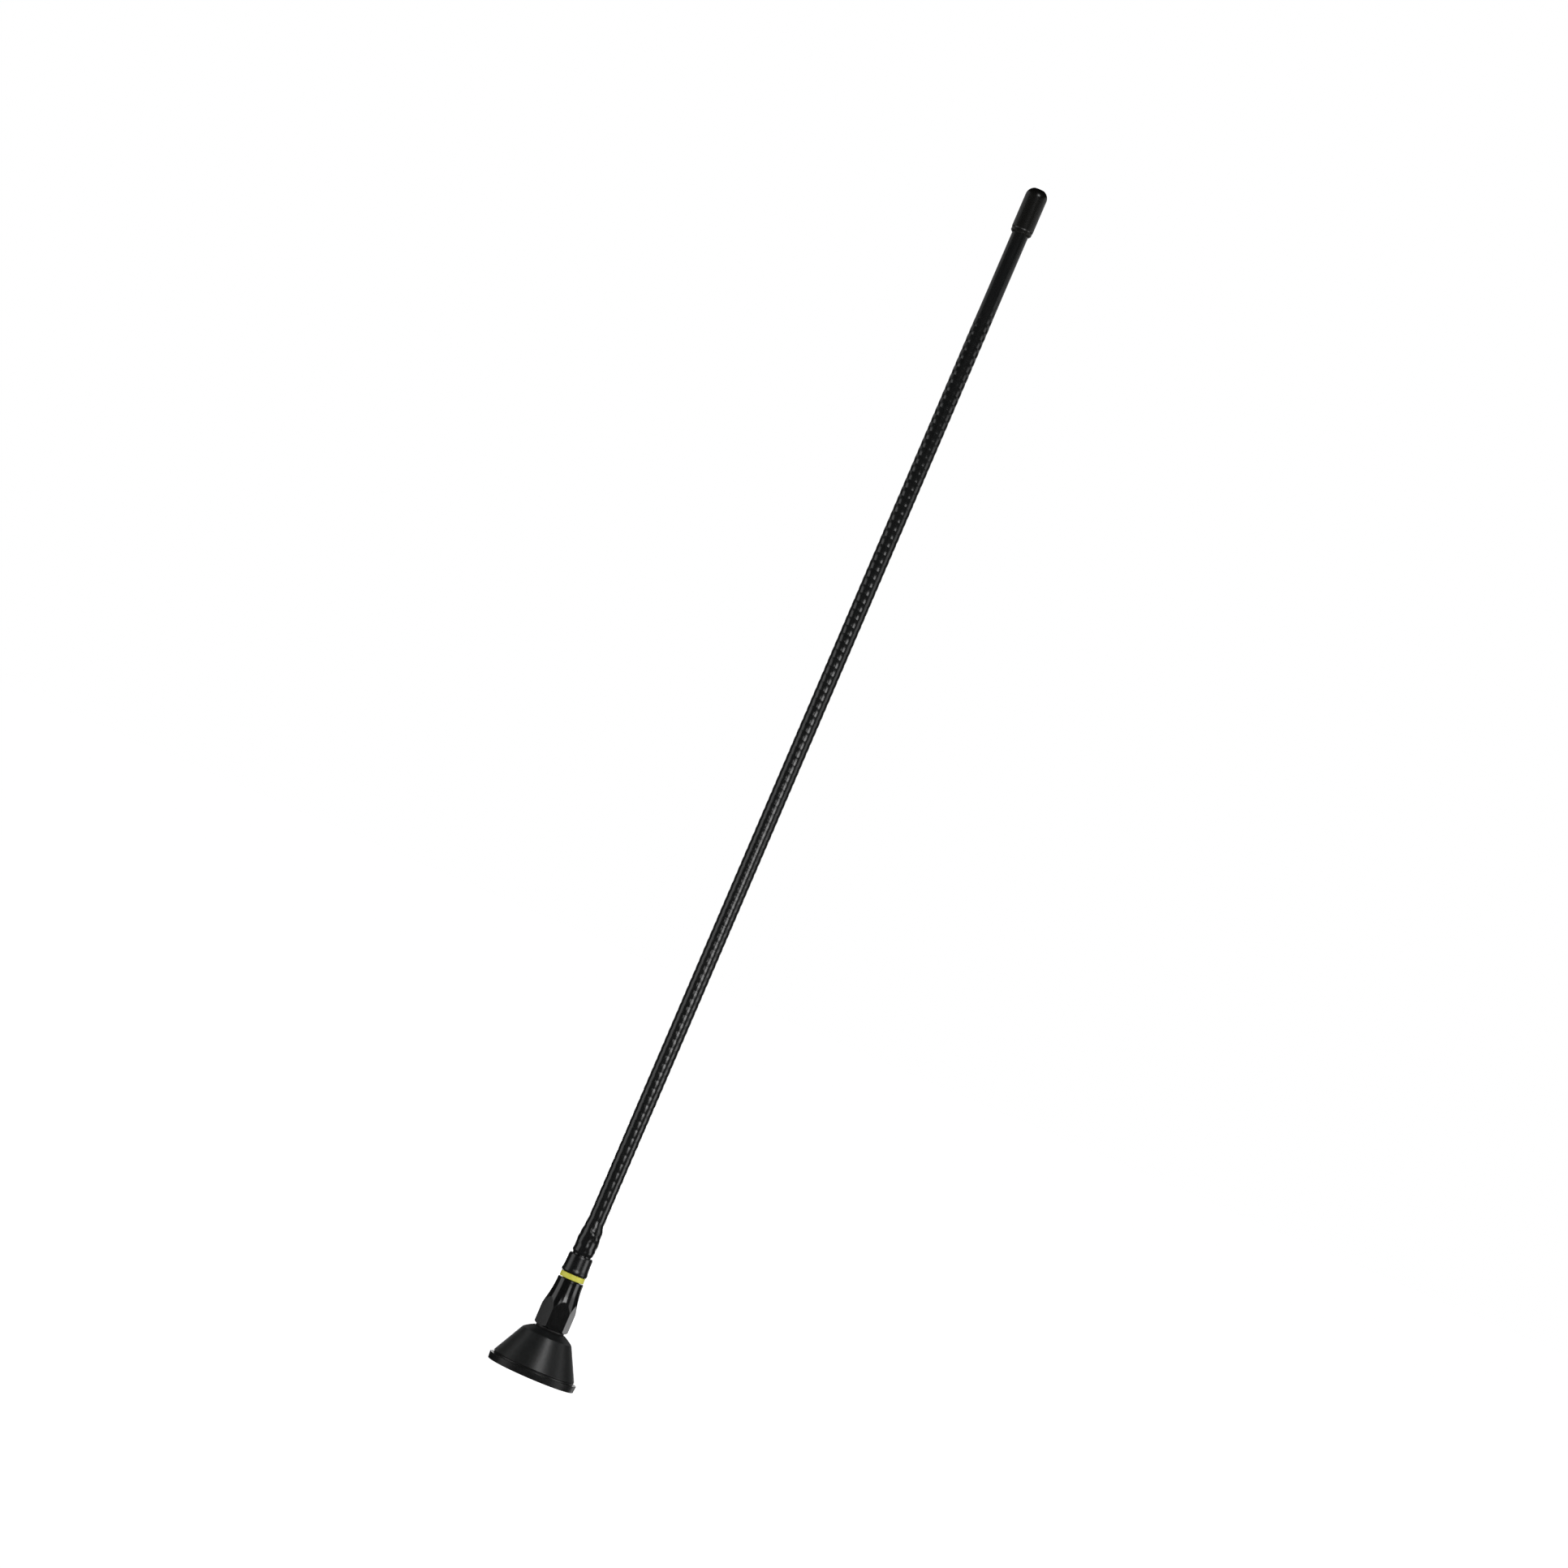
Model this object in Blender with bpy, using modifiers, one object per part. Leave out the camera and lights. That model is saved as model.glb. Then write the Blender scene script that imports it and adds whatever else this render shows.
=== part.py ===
"""Fiberglass whip antenna on a conical moulded base with a coaxial mount under it.

The whip stands along +Z and the origin is the middle of the base's underside. The pieces are
stacked from the bottom up, so each height is worked out from the piece that it stands on.
"""

import math

import bmesh
import bpy

MM = 0.001

# General fits
CLEARANCE = 0.3 * MM
WINDING_CLEARANCE = 0.15 * MM
MERGE_DISTANCE = 0.01 * MM

# Base gasket, the rubber rim round the foot
RIM_RADIUS = 24.9 * MM
RIM_FOOT_RADIUS = 23.5 * MM
RIM_HEIGHT = 3.0 * MM
RIM_EDGE = 0.3 * MM
GASKET_WEB = 1.8 * MM
LEDGE_WIDTH = 1.85 * MM

# Moulded base housing
FOOT_STEP_WIDTH = 0.35 * MM
FOOT_STEP_HEIGHT = 1.5 * MM
FOOT_EDGE_HEIGHT = 0.8 * MM
SHOULDER_RADIUS = 14.2 * MM
SHOULDER_DROP = 3.3 * MM
SHOULDER_BULGE = 0.35 * MM
SHOULDER_EDGE = 0.7 * MM
TOP_LAND = 0.4 * MM
CAVITY_FOOT_RADIUS = 14.0 * MM
CAVITY_TOP_RADIUS = 11.6 * MM
BOSS_RADIUS = 6.2 * MM
BOSS_DROP = 0.9 * MM
BOSS_FLOOR = 2.8 * MM
RIB_COUNT = 6
RIB_THICKNESS = 1.6 * MM
RIB_DROP = 5.0 * MM

# Coaxial mount: threaded ring, insulator and centre contact
RING_RADIUS = 17.0 * MM
RING_BORE = 14.3 * MM
RING_LIFT = 0.9 * MM
SOCKET_DEPTH = 8.1 * MM
RING_CHAMFER = 0.6 * MM
DISC_OVERLAP = 0.8 * MM
DISC_THICKNESS = 1.5 * MM
PIN_RADIUS = 1.6 * MM
PIN_HEAD_RADIUS = 3.0 * MM
PIN_HEAD = 1.7 * MM
PIN_TAIL = 1.6 * MM

# Stud and what clamps it
STUD_RADIUS = 3.0 * MM
STUD_TAIL = 1.2 * MM
STUD_REACH = 13.2 * MM
STUD_CHAMFER = 0.5 * MM
FLANGE_RADIUS = 6.0 * MM
FLANGE_THICKNESS = 2.3 * MM
FEED_ROOM = 0.9 * MM
NUT_FLATS = 10.0 * MM
NUT_HEIGHT = 3.2 * MM
LOCK_WASHER_RADIUS = 5.2 * MM
LOCK_WASHER_THICKNESS = 1.3 * MM
TAG_RADIUS = 5.4 * MM
TAG_THICKNESS = 0.6 * MM
TAG_REACH = 9.8 * MM
TAG_WIDTH = 3.6 * MM
FEED_WIRE_RADIUS = 0.5 * MM
SEAL_THICKNESS = 0.5 * MM
SEAL_INSET = 0.5 * MM

# Ferrule, turned from hexagon bar
HEX_FLATS = 17.0 * MM
HEX_TURN = math.radians(13.0)
HEX_FOOT_INSET = 0.2 * MM
HEX_FOOT_CHAMFER = 1.3 * MM
BLANK_SPARE = 0.05 * MM
FERRULE_BODY = 27.6 * MM
NECK_RADIUS = 7.25 * MM
NECK_EDGE = 0.35 * MM
FLARE_RADIUS = 52.0 * MM
STUD_BORE_SPARE = 0.8 * MM
FERRULE_WEB = 3.0 * MM
SPIGOT_WALL = 1.4 * MM
SPIGOT_STEP = 0.4 * MM
SPIGOT_LAND = 7.5 * MM
SPIGOT_TIP = 2.5 * MM
SPIGOT_TIP_WALL = 0.4 * MM

# Band ring and collar above the ferrule's neck
BAND_HEIGHT = 3.3 * MM
BAND_INSET = 0.4 * MM
BAND_EDGE = 0.2 * MM
COLLAR_HEIGHT = 10.4 * MM
COLLAR_TOP_WALL = 0.45 * MM
COLLAR_SHOULDER_WALL = 1.1 * MM
COLLAR_WAIST_WALL = 1.3 * MM
COLLAR_FOOT_WALL = 1.55 * MM
COLLAR_TOP_CHAMFER = 1.4 * MM
COLLAR_LIP_HEIGHT = 1.4 * MM
COLLAR_LIP_UNDERCUT = 0.55 * MM

# Whip: rod, winding and sleeve
WHIP_LENGTH = 621.1 * MM
ROD_RADIUS = 2.4 * MM
ROD_TIP_CHAMFER = 0.5 * MM
WIRE_RADIUS = 0.3 * MM
PITCH = 4.7 * MM
FOOT_PITCH = 6.4 * MM
FOOT_PITCH_TURNS = 4.0
COIL_FOOT_RISE = 8.5 * MM
COIL_TOP_MARGIN = 64.0 * MM
LEAD_LENGTH = 4.5 * MM
SLEEVE_WALL = 0.42 * MM
RIPPLE = 0.2 * MM
RIPPLE_FADE_TURNS = 2.0
BULGE_WALL = 0.5 * MM
SLEEVE_FOOT_RISE = 1.9 * MM
SOLDER_WIDTH = 1.4 * MM
SOLDER_LENGTH = 2.2 * MM

# Tip cap
CAP_LENGTH = 26.2 * MM
CAP_WALL = 1.0 * MM
CAP_DOME_RADIUS = 5.1 * MM
CAP_RIM_HEIGHT = 2.2 * MM
CAP_RIM_LAND = 0.1 * MM

# Facets round each turned piece, along the flare and round the wire
BASE_STEPS = 28
RING_STEPS = 16
SMALL_STEPS = 12
FERRULE_STEPS = 18
FLARE_STEPS = 5
COLLAR_STEPS = 18
CAP_STEPS = 16
DOME_STEPS = 4
RIM_STEPS = 2
ROD_STEPS = 8
SLEEVE_SIDES = 8
WIRE_STEPS = 6
WIRE_SIDES = 3
FEED_WIRE_SIDES = 6

# Radii that follow from the fits
RING_SEAT_RADIUS = RING_RADIUS + CLEARANCE
CONE_FOOT_RADIUS = RIM_RADIUS - LEDGE_WIDTH
HOUSING_FOOT_RADIUS = CONE_FOOT_RADIUS - FOOT_STEP_WIDTH
DISC_RADIUS = RING_BORE + DISC_OVERLAP
STUD_HOLE_RADIUS = STUD_RADIUS + CLEARANCE
HEX_CORNER_RADIUS = HEX_FLATS / 2 / math.cos(math.pi / 6)
BLANK_RADIUS = HEX_CORNER_RADIUS / math.cos(math.pi / FERRULE_STEPS) + BLANK_SPARE
SEAL_RADIUS = HEX_FLATS / 2 - SEAL_INSET
TOP_LAND_RADIUS = HEX_FLATS / 2 + TOP_LAND
ROD_BORE_RADIUS = ROD_RADIUS + CLEARANCE
SPIGOT_LAND_RADIUS = ROD_BORE_RADIUS + SPIGOT_WALL
SPIGOT_RADIUS = SPIGOT_LAND_RADIUS + SPIGOT_STEP
COIL_RADIUS = (ROD_RADIUS + WINDING_CLEARANCE + WIRE_RADIUS) / math.cos(math.pi / WIRE_STEPS)
COIL_REACH = COIL_RADIUS + WIRE_RADIUS / math.cos(math.pi / WIRE_STEPS)
SLEEVE_ROUND = math.cos(math.pi / SLEEVE_SIDES)
SLEEVE_BORE = (COIL_REACH + WINDING_CLEARANCE) / SLEEVE_ROUND
SLEEVE_RADIUS = SLEEVE_BORE + SLEEVE_WALL
LEAD_RADIUS = SPIGOT_LAND_RADIUS + CLEARANCE + WIRE_RADIUS
BULGE_BORE = LEAD_RADIUS + WIRE_RADIUS + CLEARANCE
BULGE_RADIUS = BULGE_BORE + BULGE_WALL
SLEEVE_FOOT_BORE = (SPIGOT_RADIUS + WINDING_CLEARANCE) / SLEEVE_ROUND
SLEEVE_FOOT_RADIUS = SLEEVE_FOOT_BORE + SLEEVE_WALL
COLLAR_BORE = SLEEVE_FOOT_RADIUS + CLEARANCE
BAND_BORE = SPIGOT_RADIUS + CLEARANCE
BAND_RADIUS = NECK_RADIUS - BAND_INSET
CAP_BORE = SLEEVE_RADIUS + RIPPLE + CLEARANCE
CAP_RADIUS = CAP_BORE + CAP_WALL

# Heights, from the ground up
HOUSING_FOOT = GASKET_WEB + CLEARANCE
RING_LEDGE = RING_LIFT + SOCKET_DEPTH
DISC_FOOT = RING_LEDGE + CLEARANCE
DISC_TOP = DISC_FOOT + DISC_THICKNESS
CAVITY_FOOT = DISC_TOP + CLEARANCE
PIN_HEAD_TOP = DISC_FOOT - CLEARANCE
PIN_TOP = DISC_TOP + PIN_TAIL
STUD_FOOT = PIN_TOP + FEED_ROOM
NUT_FOOT = STUD_FOOT + STUD_TAIL
LOCK_WASHER_FOOT = NUT_FOOT + NUT_HEIGHT + CLEARANCE
TAG_FOOT = LOCK_WASHER_FOOT + LOCK_WASHER_THICKNESS + CLEARANCE
BOSS_FOOT = TAG_FOOT + TAG_THICKNESS + CLEARANCE
CAVITY_TOP = BOSS_FOOT + BOSS_DROP
FLANGE_SEAT = BOSS_FOOT + BOSS_FLOOR
FLANGE_FOOT = FLANGE_SEAT + CLEARANCE
HOUSING_TOP = FLANGE_FOOT + FLANGE_THICKNESS
SEAL_FOOT = HOUSING_TOP + CLEARANCE
FERRULE_FOOT = SEAL_FOOT + SEAL_THICKNESS + CLEARANCE
STUD_TOP = FERRULE_FOOT + STUD_REACH
STUD_BORE_TOP = STUD_TOP + STUD_BORE_SPARE
ROD_BORE_FOOT = STUD_BORE_TOP + FERRULE_WEB
ROD_FOOT = ROD_BORE_FOOT + CLEARANCE
FERRULE_SHOULDER = FERRULE_FOOT + FERRULE_BODY
BAND_FOOT = FERRULE_SHOULDER + CLEARANCE
COLLAR_FOOT = BAND_FOOT + BAND_HEIGHT + CLEARANCE
COLLAR_TOP = COLLAR_FOOT + COLLAR_HEIGHT
SLEEVE_FOOT = COLLAR_FOOT + SLEEVE_FOOT_RISE
SPIGOT_LAND_FOOT = COLLAR_TOP + CLEARANCE
SPIGOT_LAND_TOP = SPIGOT_LAND_FOOT + SPIGOT_LAND
SPIGOT_TOP = SPIGOT_LAND_TOP + SPIGOT_TIP
COIL_FOOT = SPIGOT_TOP + COIL_FOOT_RISE
WHIP_TOP = COLLAR_TOP + WHIP_LENGTH
CAP_FOOT = WHIP_TOP - CAP_LENGTH
CAP_DOME_FOOT = WHIP_TOP - CAP_DOME_RADIUS
ROD_TOP = CAP_DOME_FOOT - CLEARANCE

# The winding's turns fill the height between its two ends
COIL_SPAN = ROD_TOP - COIL_TOP_MARGIN - COIL_FOOT
FOOT_STRETCH = (FOOT_PITCH - PITCH) * FOOT_PITCH_TURNS
COIL_TURNS = round((COIL_SPAN - FOOT_STRETCH) / PITCH)


def clear_scene():
    """Remove every object that the file starts with."""
    for item in list(bpy.data.objects):
        bpy.data.objects.remove(item, do_unlink=True)


def new_collection(name):
    """A collection in the scene."""
    collection = bpy.data.collections.new(name)
    bpy.context.scene.collection.children.link(collection)
    return collection


def material(name, colour, roughness, metallic=0.0):
    """A plain Principled material."""
    item = bpy.data.materials.new(name)
    item.use_nodes = True
    shader = item.node_tree.nodes["Principled BSDF"]
    shader.inputs["Base Color"].default_value = (*colour, 1.0)
    shader.inputs["Roughness"].default_value = roughness
    shader.inputs["Metallic"].default_value = metallic
    return item


def link(name, data, surface=None, collection=None):
    """A new object on the data, in the antenna's collection unless another is given."""
    item = bpy.data.objects.new(name, data)
    (collection or ANTENNA).objects.link(item)
    if surface:
        data.materials.append(surface)
    return item


def shade(mesh, angle=35.0):
    """Smooth shading that keeps the edges sharper than the angle."""
    mesh.shade_smooth()
    mesh.set_sharp_from_angle(angle=math.radians(angle))


def arc(centre, radii, start, end, count):
    """Points of an elliptical arc about (x, z), from one angle in degrees to another."""
    points = []
    for step in range(count + 1):
        angle = math.radians(start + (end - start) * step / count)
        x = centre[0] + radii[0] * math.cos(angle)
        z = centre[1] + radii[1] * math.sin(angle)
        points.append((x, z))
    return points


def turned(name, profile, surface, steps, ring=False):
    """A turned piece: a profile of (radius, height) points swept round the Z axis."""
    mesh = bpy.data.meshes.new(name)
    count = len(profile)
    edges = [(n, n + 1) for n in range(count - 1)]
    if ring:
        edges.append((count - 1, 0))
    mesh.from_pydata([(x, 0.0, z) for x, z in profile], edges, [])
    item = link(name, mesh, surface)
    screw = item.modifiers.new("turn", "SCREW")
    screw.steps = steps
    screw.render_steps = steps
    screw.use_merge_vertices = True
    screw.merge_threshold = MERGE_DISTANCE
    screw.use_smooth_shade = True
    return item


def cutter(name, data):
    """A hidden object that shapes another one."""
    item = link(name, data, collection=CUTTERS)
    item.hide_render = True
    item.display_type = "WIRE"
    return item


def combine(item, other, operation):
    """An exact Boolean between a piece and a hidden shape."""
    boolean = item.modifiers.new(other.name, "BOOLEAN")
    boolean.operation = operation
    boolean.solver = "EXACT"
    boolean.object = other


def prism_mesh(name, flats, low, high, turn=0.0):
    """A hexagonal prism with a flat that faces -Y, turned from there towards +X."""
    mesh = bpy.data.meshes.new(name)
    builder = bmesh.new()
    radius = flats / 2 / math.cos(math.pi / 6)
    bmesh.ops.create_cone(
        builder, cap_ends=True, segments=6, radius1=radius, radius2=radius, depth=high - low
    )
    angle = math.pi / 6 + turn
    for vertex in builder.verts:
        x, y, z = vertex.co
        vertex.co.x = x * math.cos(angle) - y * math.sin(angle)
        vertex.co.y = x * math.sin(angle) + y * math.cos(angle)
        vertex.co.z = z + (low + high) / 2
    builder.to_mesh(mesh)
    builder.free()
    return mesh


def box_mesh(name, low, high):
    """A box between two corners."""
    mesh = bpy.data.meshes.new(name)
    builder = bmesh.new()
    bmesh.ops.create_cube(builder, size=1.0)
    for vertex in builder.verts:
        for axis in range(3):
            middle = (low[axis] + high[axis]) / 2
            vertex.co[axis] = middle + vertex.co[axis] * (high[axis] - low[axis])
    builder.to_mesh(mesh)
    builder.free()
    return mesh


def base_gasket():
    """The rubber rim: an L in section, with a ledge outside the cone's foot."""
    ledge_inner = HOUSING_FOOT_RADIUS + CLEARANCE
    gasket_bore = RING_SEAT_RADIUS + CLEARANCE
    profile = [
        (ledge_inner, RIM_HEIGHT),
        (RIM_RADIUS - RIM_EDGE, RIM_HEIGHT),
        (RIM_RADIUS, RIM_HEIGHT - RIM_EDGE),
        (RIM_FOOT_RADIUS, 0.0),
        (gasket_bore, 0.0),
        (gasket_bore, GASKET_WEB),
        (ledge_inner, GASKET_WEB),
    ]
    turned("base_gasket", profile, RUBBER, BASE_STEPS, ring=True)


def housing_profile():
    """Section of the cone: outside from the top down, then up through the hollow."""
    shoulder_top = (TOP_LAND_RADIUS, HOUSING_TOP)
    shoulder_foot = (SHOULDER_RADIUS, HOUSING_TOP - SHOULDER_DROP)
    shoulder_middle = (
        (shoulder_top[0] + shoulder_foot[0]) / 2 + SHOULDER_BULGE,
        (shoulder_top[1] + shoulder_foot[1]) / 2 + SHOULDER_BULGE,
    )
    counterbore = FLANGE_RADIUS + CLEARANCE
    cone_foot = HOUSING_FOOT + FOOT_STEP_HEIGHT + FOOT_EDGE_HEIGHT
    return [
        (counterbore, FLANGE_SEAT),
        (counterbore, HOUSING_TOP),
        shoulder_top,
        shoulder_middle,
        shoulder_foot,
        (SHOULDER_RADIUS + SHOULDER_EDGE, shoulder_foot[1] - SHOULDER_EDGE),
        (CONE_FOOT_RADIUS, cone_foot),
        (HOUSING_FOOT_RADIUS, HOUSING_FOOT + FOOT_STEP_HEIGHT),
        (HOUSING_FOOT_RADIUS, HOUSING_FOOT),
        (RING_SEAT_RADIUS, HOUSING_FOOT),
        (RING_SEAT_RADIUS, CAVITY_FOOT),
        (CAVITY_FOOT_RADIUS, CAVITY_FOOT),
        (CAVITY_TOP_RADIUS, CAVITY_TOP),
        (BOSS_RADIUS, CAVITY_TOP),
        (BOSS_RADIUS, BOSS_FOOT),
        (STUD_HOLE_RADIUS, BOSS_FOOT),
        (STUD_HOLE_RADIUS, FLANGE_SEAT),
    ]


def base_housing():
    """The moulded cone: hollow below, with a boss for the stud and ribs round the boss."""
    housing = turned("base_housing", housing_profile(), MOULDED, BASE_STEPS, ring=True)
    inner = BOSS_RADIUS - CLEARANCE
    outer = (CAVITY_FOOT_RADIUS + CAVITY_TOP_RADIUS) / 2
    low = (inner, -RIB_THICKNESS / 2, CAVITY_TOP - RIB_DROP)
    high = (outer, RIB_THICKNESS / 2, CAVITY_TOP + BOSS_DROP)
    for number in range(RIB_COUNT):
        rib = cutter(f"rib_{number + 1}", box_mesh("rib", low, high))
        rib.rotation_euler.z = 2 * math.pi * (number + 0.5) / RIB_COUNT
        combine(housing, rib, "UNION")


def mounting_ring():
    """The outer contact: a ring with a threaded bore and a ledge for the insulator."""
    profile = [
        (RING_BORE, RING_LEDGE),
        (DISC_RADIUS + CLEARANCE, RING_LEDGE),
        (DISC_RADIUS + CLEARANCE, DISC_TOP),
        (RING_RADIUS, DISC_TOP),
        (RING_RADIUS, RING_LIFT),
        (RING_BORE + RING_CHAMFER, RING_LIFT),
        (RING_BORE, RING_LIFT + RING_CHAMFER),
    ]
    turned("mounting_ring", profile, BRASS, RING_STEPS, ring=True)


def insulator_disc():
    """The disc that holds the centre contact inside the ring."""
    hole = PIN_RADIUS + CLEARANCE
    profile = [
        (hole, DISC_TOP),
        (DISC_RADIUS, DISC_TOP),
        (DISC_RADIUS, DISC_FOOT),
        (hole, DISC_FOOT),
    ]
    turned("insulator_disc", profile, NYLON, RING_STEPS, ring=True)


def contact_pin():
    """The centre contact: a headed pin through the insulator."""
    head_foot = PIN_HEAD_TOP - PIN_HEAD
    profile = [
        (0.0, PIN_TOP),
        (PIN_RADIUS, PIN_TOP),
        (PIN_RADIUS, PIN_HEAD_TOP),
        (PIN_HEAD_RADIUS, PIN_HEAD_TOP),
        (PIN_HEAD_RADIUS, head_foot + PIN_HEAD / 2),
        (PIN_HEAD_RADIUS - PIN_HEAD / 2, head_foot),
        (0.0, head_foot),
    ]
    turned("contact_pin", profile, BRASS, SMALL_STEPS)


def contact_stud():
    """The stud that carries the whip, with a flange sunk in the top of the housing."""
    profile = [
        (0.0, STUD_TOP),
        (STUD_RADIUS - STUD_CHAMFER, STUD_TOP),
        (STUD_RADIUS, STUD_TOP - STUD_CHAMFER),
        (STUD_RADIUS, HOUSING_TOP),
        (FLANGE_RADIUS, HOUSING_TOP),
        (FLANGE_RADIUS, FLANGE_FOOT),
        (STUD_RADIUS, FLANGE_FOOT),
        (STUD_RADIUS, STUD_FOOT + STUD_CHAMFER),
        (STUD_RADIUS - STUD_CHAMFER, STUD_FOOT),
        (0.0, STUD_FOOT),
    ]
    turned("contact_stud", profile, BRASS, SMALL_STEPS)


def washer(name, bore, radius, foot, thickness, surface, steps):
    """A flat ring."""
    top = foot + thickness
    profile = [(bore, top), (radius, top), (radius, foot), (bore, foot)]
    return turned(name, profile, surface, steps, ring=True)


def stud_nut():
    """A thin hexagon nut on the stud's tail."""
    blank = NUT_FLATS / 2 / math.cos(math.pi / 6) / math.cos(math.pi / SMALL_STEPS)
    nut = washer("stud_nut", STUD_HOLE_RADIUS, blank, NUT_FOOT, NUT_HEIGHT, STEEL, SMALL_STEPS)
    low = NUT_FOOT - CLEARANCE
    high = NUT_FOOT + NUT_HEIGHT + CLEARANCE
    flats = cutter("nut_flats", prism_mesh("nut_flats", NUT_FLATS, low, high))
    combine(nut, flats, "INTERSECT")


def solder_tag():
    """A ring tag on the stud, whose tongue reaches out between two ribs."""
    tag = washer(
        "solder_tag", STUD_HOLE_RADIUS, TAG_RADIUS, TAG_FOOT, TAG_THICKNESS, BRASS, SMALL_STEPS
    )
    root = (STUD_HOLE_RADIUS + TAG_RADIUS) / 2
    low = (root, -TAG_WIDTH / 2, TAG_FOOT)
    high = (TAG_REACH, TAG_WIDTH / 2, TAG_FOOT + TAG_THICKNESS)
    combine(tag, cutter("tag_tongue", box_mesh("tag_tongue", low, high)), "UNION")


def poly_curve(name, points, cyclic=False):
    """A curve through a list of points."""
    curve = bpy.data.curves.new(name, "CURVE")
    curve.dimensions = "3D"
    spline = curve.splines.new("POLY")
    spline.points.add(len(points) - 1)
    spline.use_cyclic_u = cyclic
    for point, place in zip(spline.points, points):
        point.co = (*place, 1.0)
    return curve


def wire(name, points, radius, sides, surface):
    """A wire through a list of points, with a section of a few sides."""
    corners = [-2 * math.pi * corner / sides for corner in range(sides)]
    outline = [(radius * math.cos(angle), radius * math.sin(angle), 0.0) for angle in corners]
    section = cutter(f"{name}_section", poly_curve(f"{name}_section", outline, cyclic=True))
    curve = poly_curve(name, points)
    curve.bevel_mode = "OBJECT"
    curve.bevel_object = section
    curve.use_fill_caps = True
    link(name, curve, surface)


def feed_wire():
    """The short wire from under the tag's tongue to the side of the contact pin."""
    out = TAG_REACH - FEED_WIRE_RADIUS - CLEARANCE
    top = TAG_FOOT - CLEARANCE
    low = DISC_TOP + CLEARANCE + FEED_WIRE_RADIUS
    near = PIN_RADIUS + CLEARANCE
    bend = FEED_ROOM
    points = [
        (out, 0.0, top),
        (out, 0.0, low + 2 * bend),
        (out - bend, 0.0, low),
        (near, 0.0, low),
    ]
    wire("feed_wire", points, FEED_WIRE_RADIUS, FEED_WIRE_SIDES, COPPER)


def flare_points():
    """The concave flare from the neck out to the blank, just past the hexagon's corners."""
    flare_top = FERRULE_SHOULDER - NECK_EDGE
    drop = math.sqrt(2 * FLARE_RADIUS * (BLANK_RADIUS - NECK_RADIUS))
    points = []
    for step in range(FLARE_STEPS + 1):
        down = drop * step / FLARE_STEPS
        points.append((NECK_RADIUS + down * down / (2 * FLARE_RADIUS), flare_top - down))
    return points


def ferrule():
    """Turned from hexagon bar: spigot and rod bore above, flare, hexagon, stud bore below."""
    foot_radius = HEX_FLATS / 2 - HEX_FOOT_INSET
    profile = [
        (0.0, ROD_BORE_FOOT),
        (ROD_BORE_RADIUS, ROD_BORE_FOOT),
        (ROD_BORE_RADIUS, SPIGOT_TOP),
        (ROD_BORE_RADIUS + SPIGOT_TIP_WALL, SPIGOT_TOP),
        (SPIGOT_LAND_RADIUS, SPIGOT_LAND_TOP),
        (SPIGOT_LAND_RADIUS, SPIGOT_LAND_FOOT),
        (SPIGOT_RADIUS, SPIGOT_LAND_FOOT),
        (SPIGOT_RADIUS, FERRULE_SHOULDER),
        (NECK_RADIUS - NECK_EDGE, FERRULE_SHOULDER),
        *flare_points(),
        (BLANK_RADIUS, FERRULE_FOOT + HEX_FOOT_CHAMFER),
        (foot_radius, FERRULE_FOOT),
        (STUD_HOLE_RADIUS, FERRULE_FOOT),
        (STUD_HOLE_RADIUS, STUD_BORE_TOP),
        (0.0, STUD_BORE_TOP),
    ]
    body = turned("ferrule", profile, PLATED, FERRULE_STEPS)
    low = FERRULE_FOOT - CLEARANCE
    high = SPIGOT_TOP + CLEARANCE
    bar = cutter("hexagon_bar", prism_mesh("hexagon_bar", HEX_FLATS, low, high, HEX_TURN))
    combine(body, bar, "INTERSECT")


def band_ring():
    """The coloured ring trapped between the ferrule's neck and the collar."""
    top = BAND_FOOT + BAND_HEIGHT
    profile = [
        (BAND_BORE, top),
        (BAND_RADIUS - BAND_EDGE, top),
        (BAND_RADIUS, top - BAND_EDGE),
        (BAND_RADIUS, BAND_FOOT + BAND_EDGE),
        (BAND_RADIUS - BAND_EDGE, BAND_FOOT),
        (BAND_BORE, BAND_FOOT),
    ]
    turned("band_ring", profile, YELLOW, COLLAR_STEPS, ring=True)


def ferrule_collar():
    """A slightly conical collar with a chamfered top and a flared lip at its foot."""
    profile = [
        (COLLAR_BORE, COLLAR_TOP),
        (COLLAR_BORE + COLLAR_TOP_WALL, COLLAR_TOP),
        (COLLAR_BORE + COLLAR_SHOULDER_WALL, COLLAR_TOP - COLLAR_TOP_CHAMFER),
        (COLLAR_BORE + COLLAR_WAIST_WALL, (COLLAR_FOOT + COLLAR_TOP) / 2),
        (COLLAR_BORE + COLLAR_FOOT_WALL, COLLAR_FOOT + COLLAR_LIP_HEIGHT),
        (COLLAR_BORE + COLLAR_FOOT_WALL - COLLAR_LIP_UNDERCUT, COLLAR_FOOT),
        (COLLAR_BORE, COLLAR_FOOT),
    ]
    turned("ferrule_collar", profile, PLATED, COLLAR_STEPS, ring=True)


def fibreglass_rod():
    """The straight core, from the ferrule's bore up into the cap."""
    profile = [
        (0.0, ROD_TOP),
        (ROD_RADIUS - ROD_TIP_CHAMFER, ROD_TOP),
        (ROD_RADIUS, ROD_TOP - ROD_TIP_CHAMFER),
        (ROD_RADIUS, ROD_FOOT),
        (0.0, ROD_FOOT),
    ]
    turned("fibreglass_rod", profile, FIBREGLASS, ROD_STEPS)


def turn_height(turns):
    """Height of the wire after some turns: wide at the foot, then an even pitch."""
    settled = 1.0 - math.exp(-turns / FOOT_PITCH_TURNS)
    return COIL_FOOT + PITCH * turns + FOOT_STRETCH * settled


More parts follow.
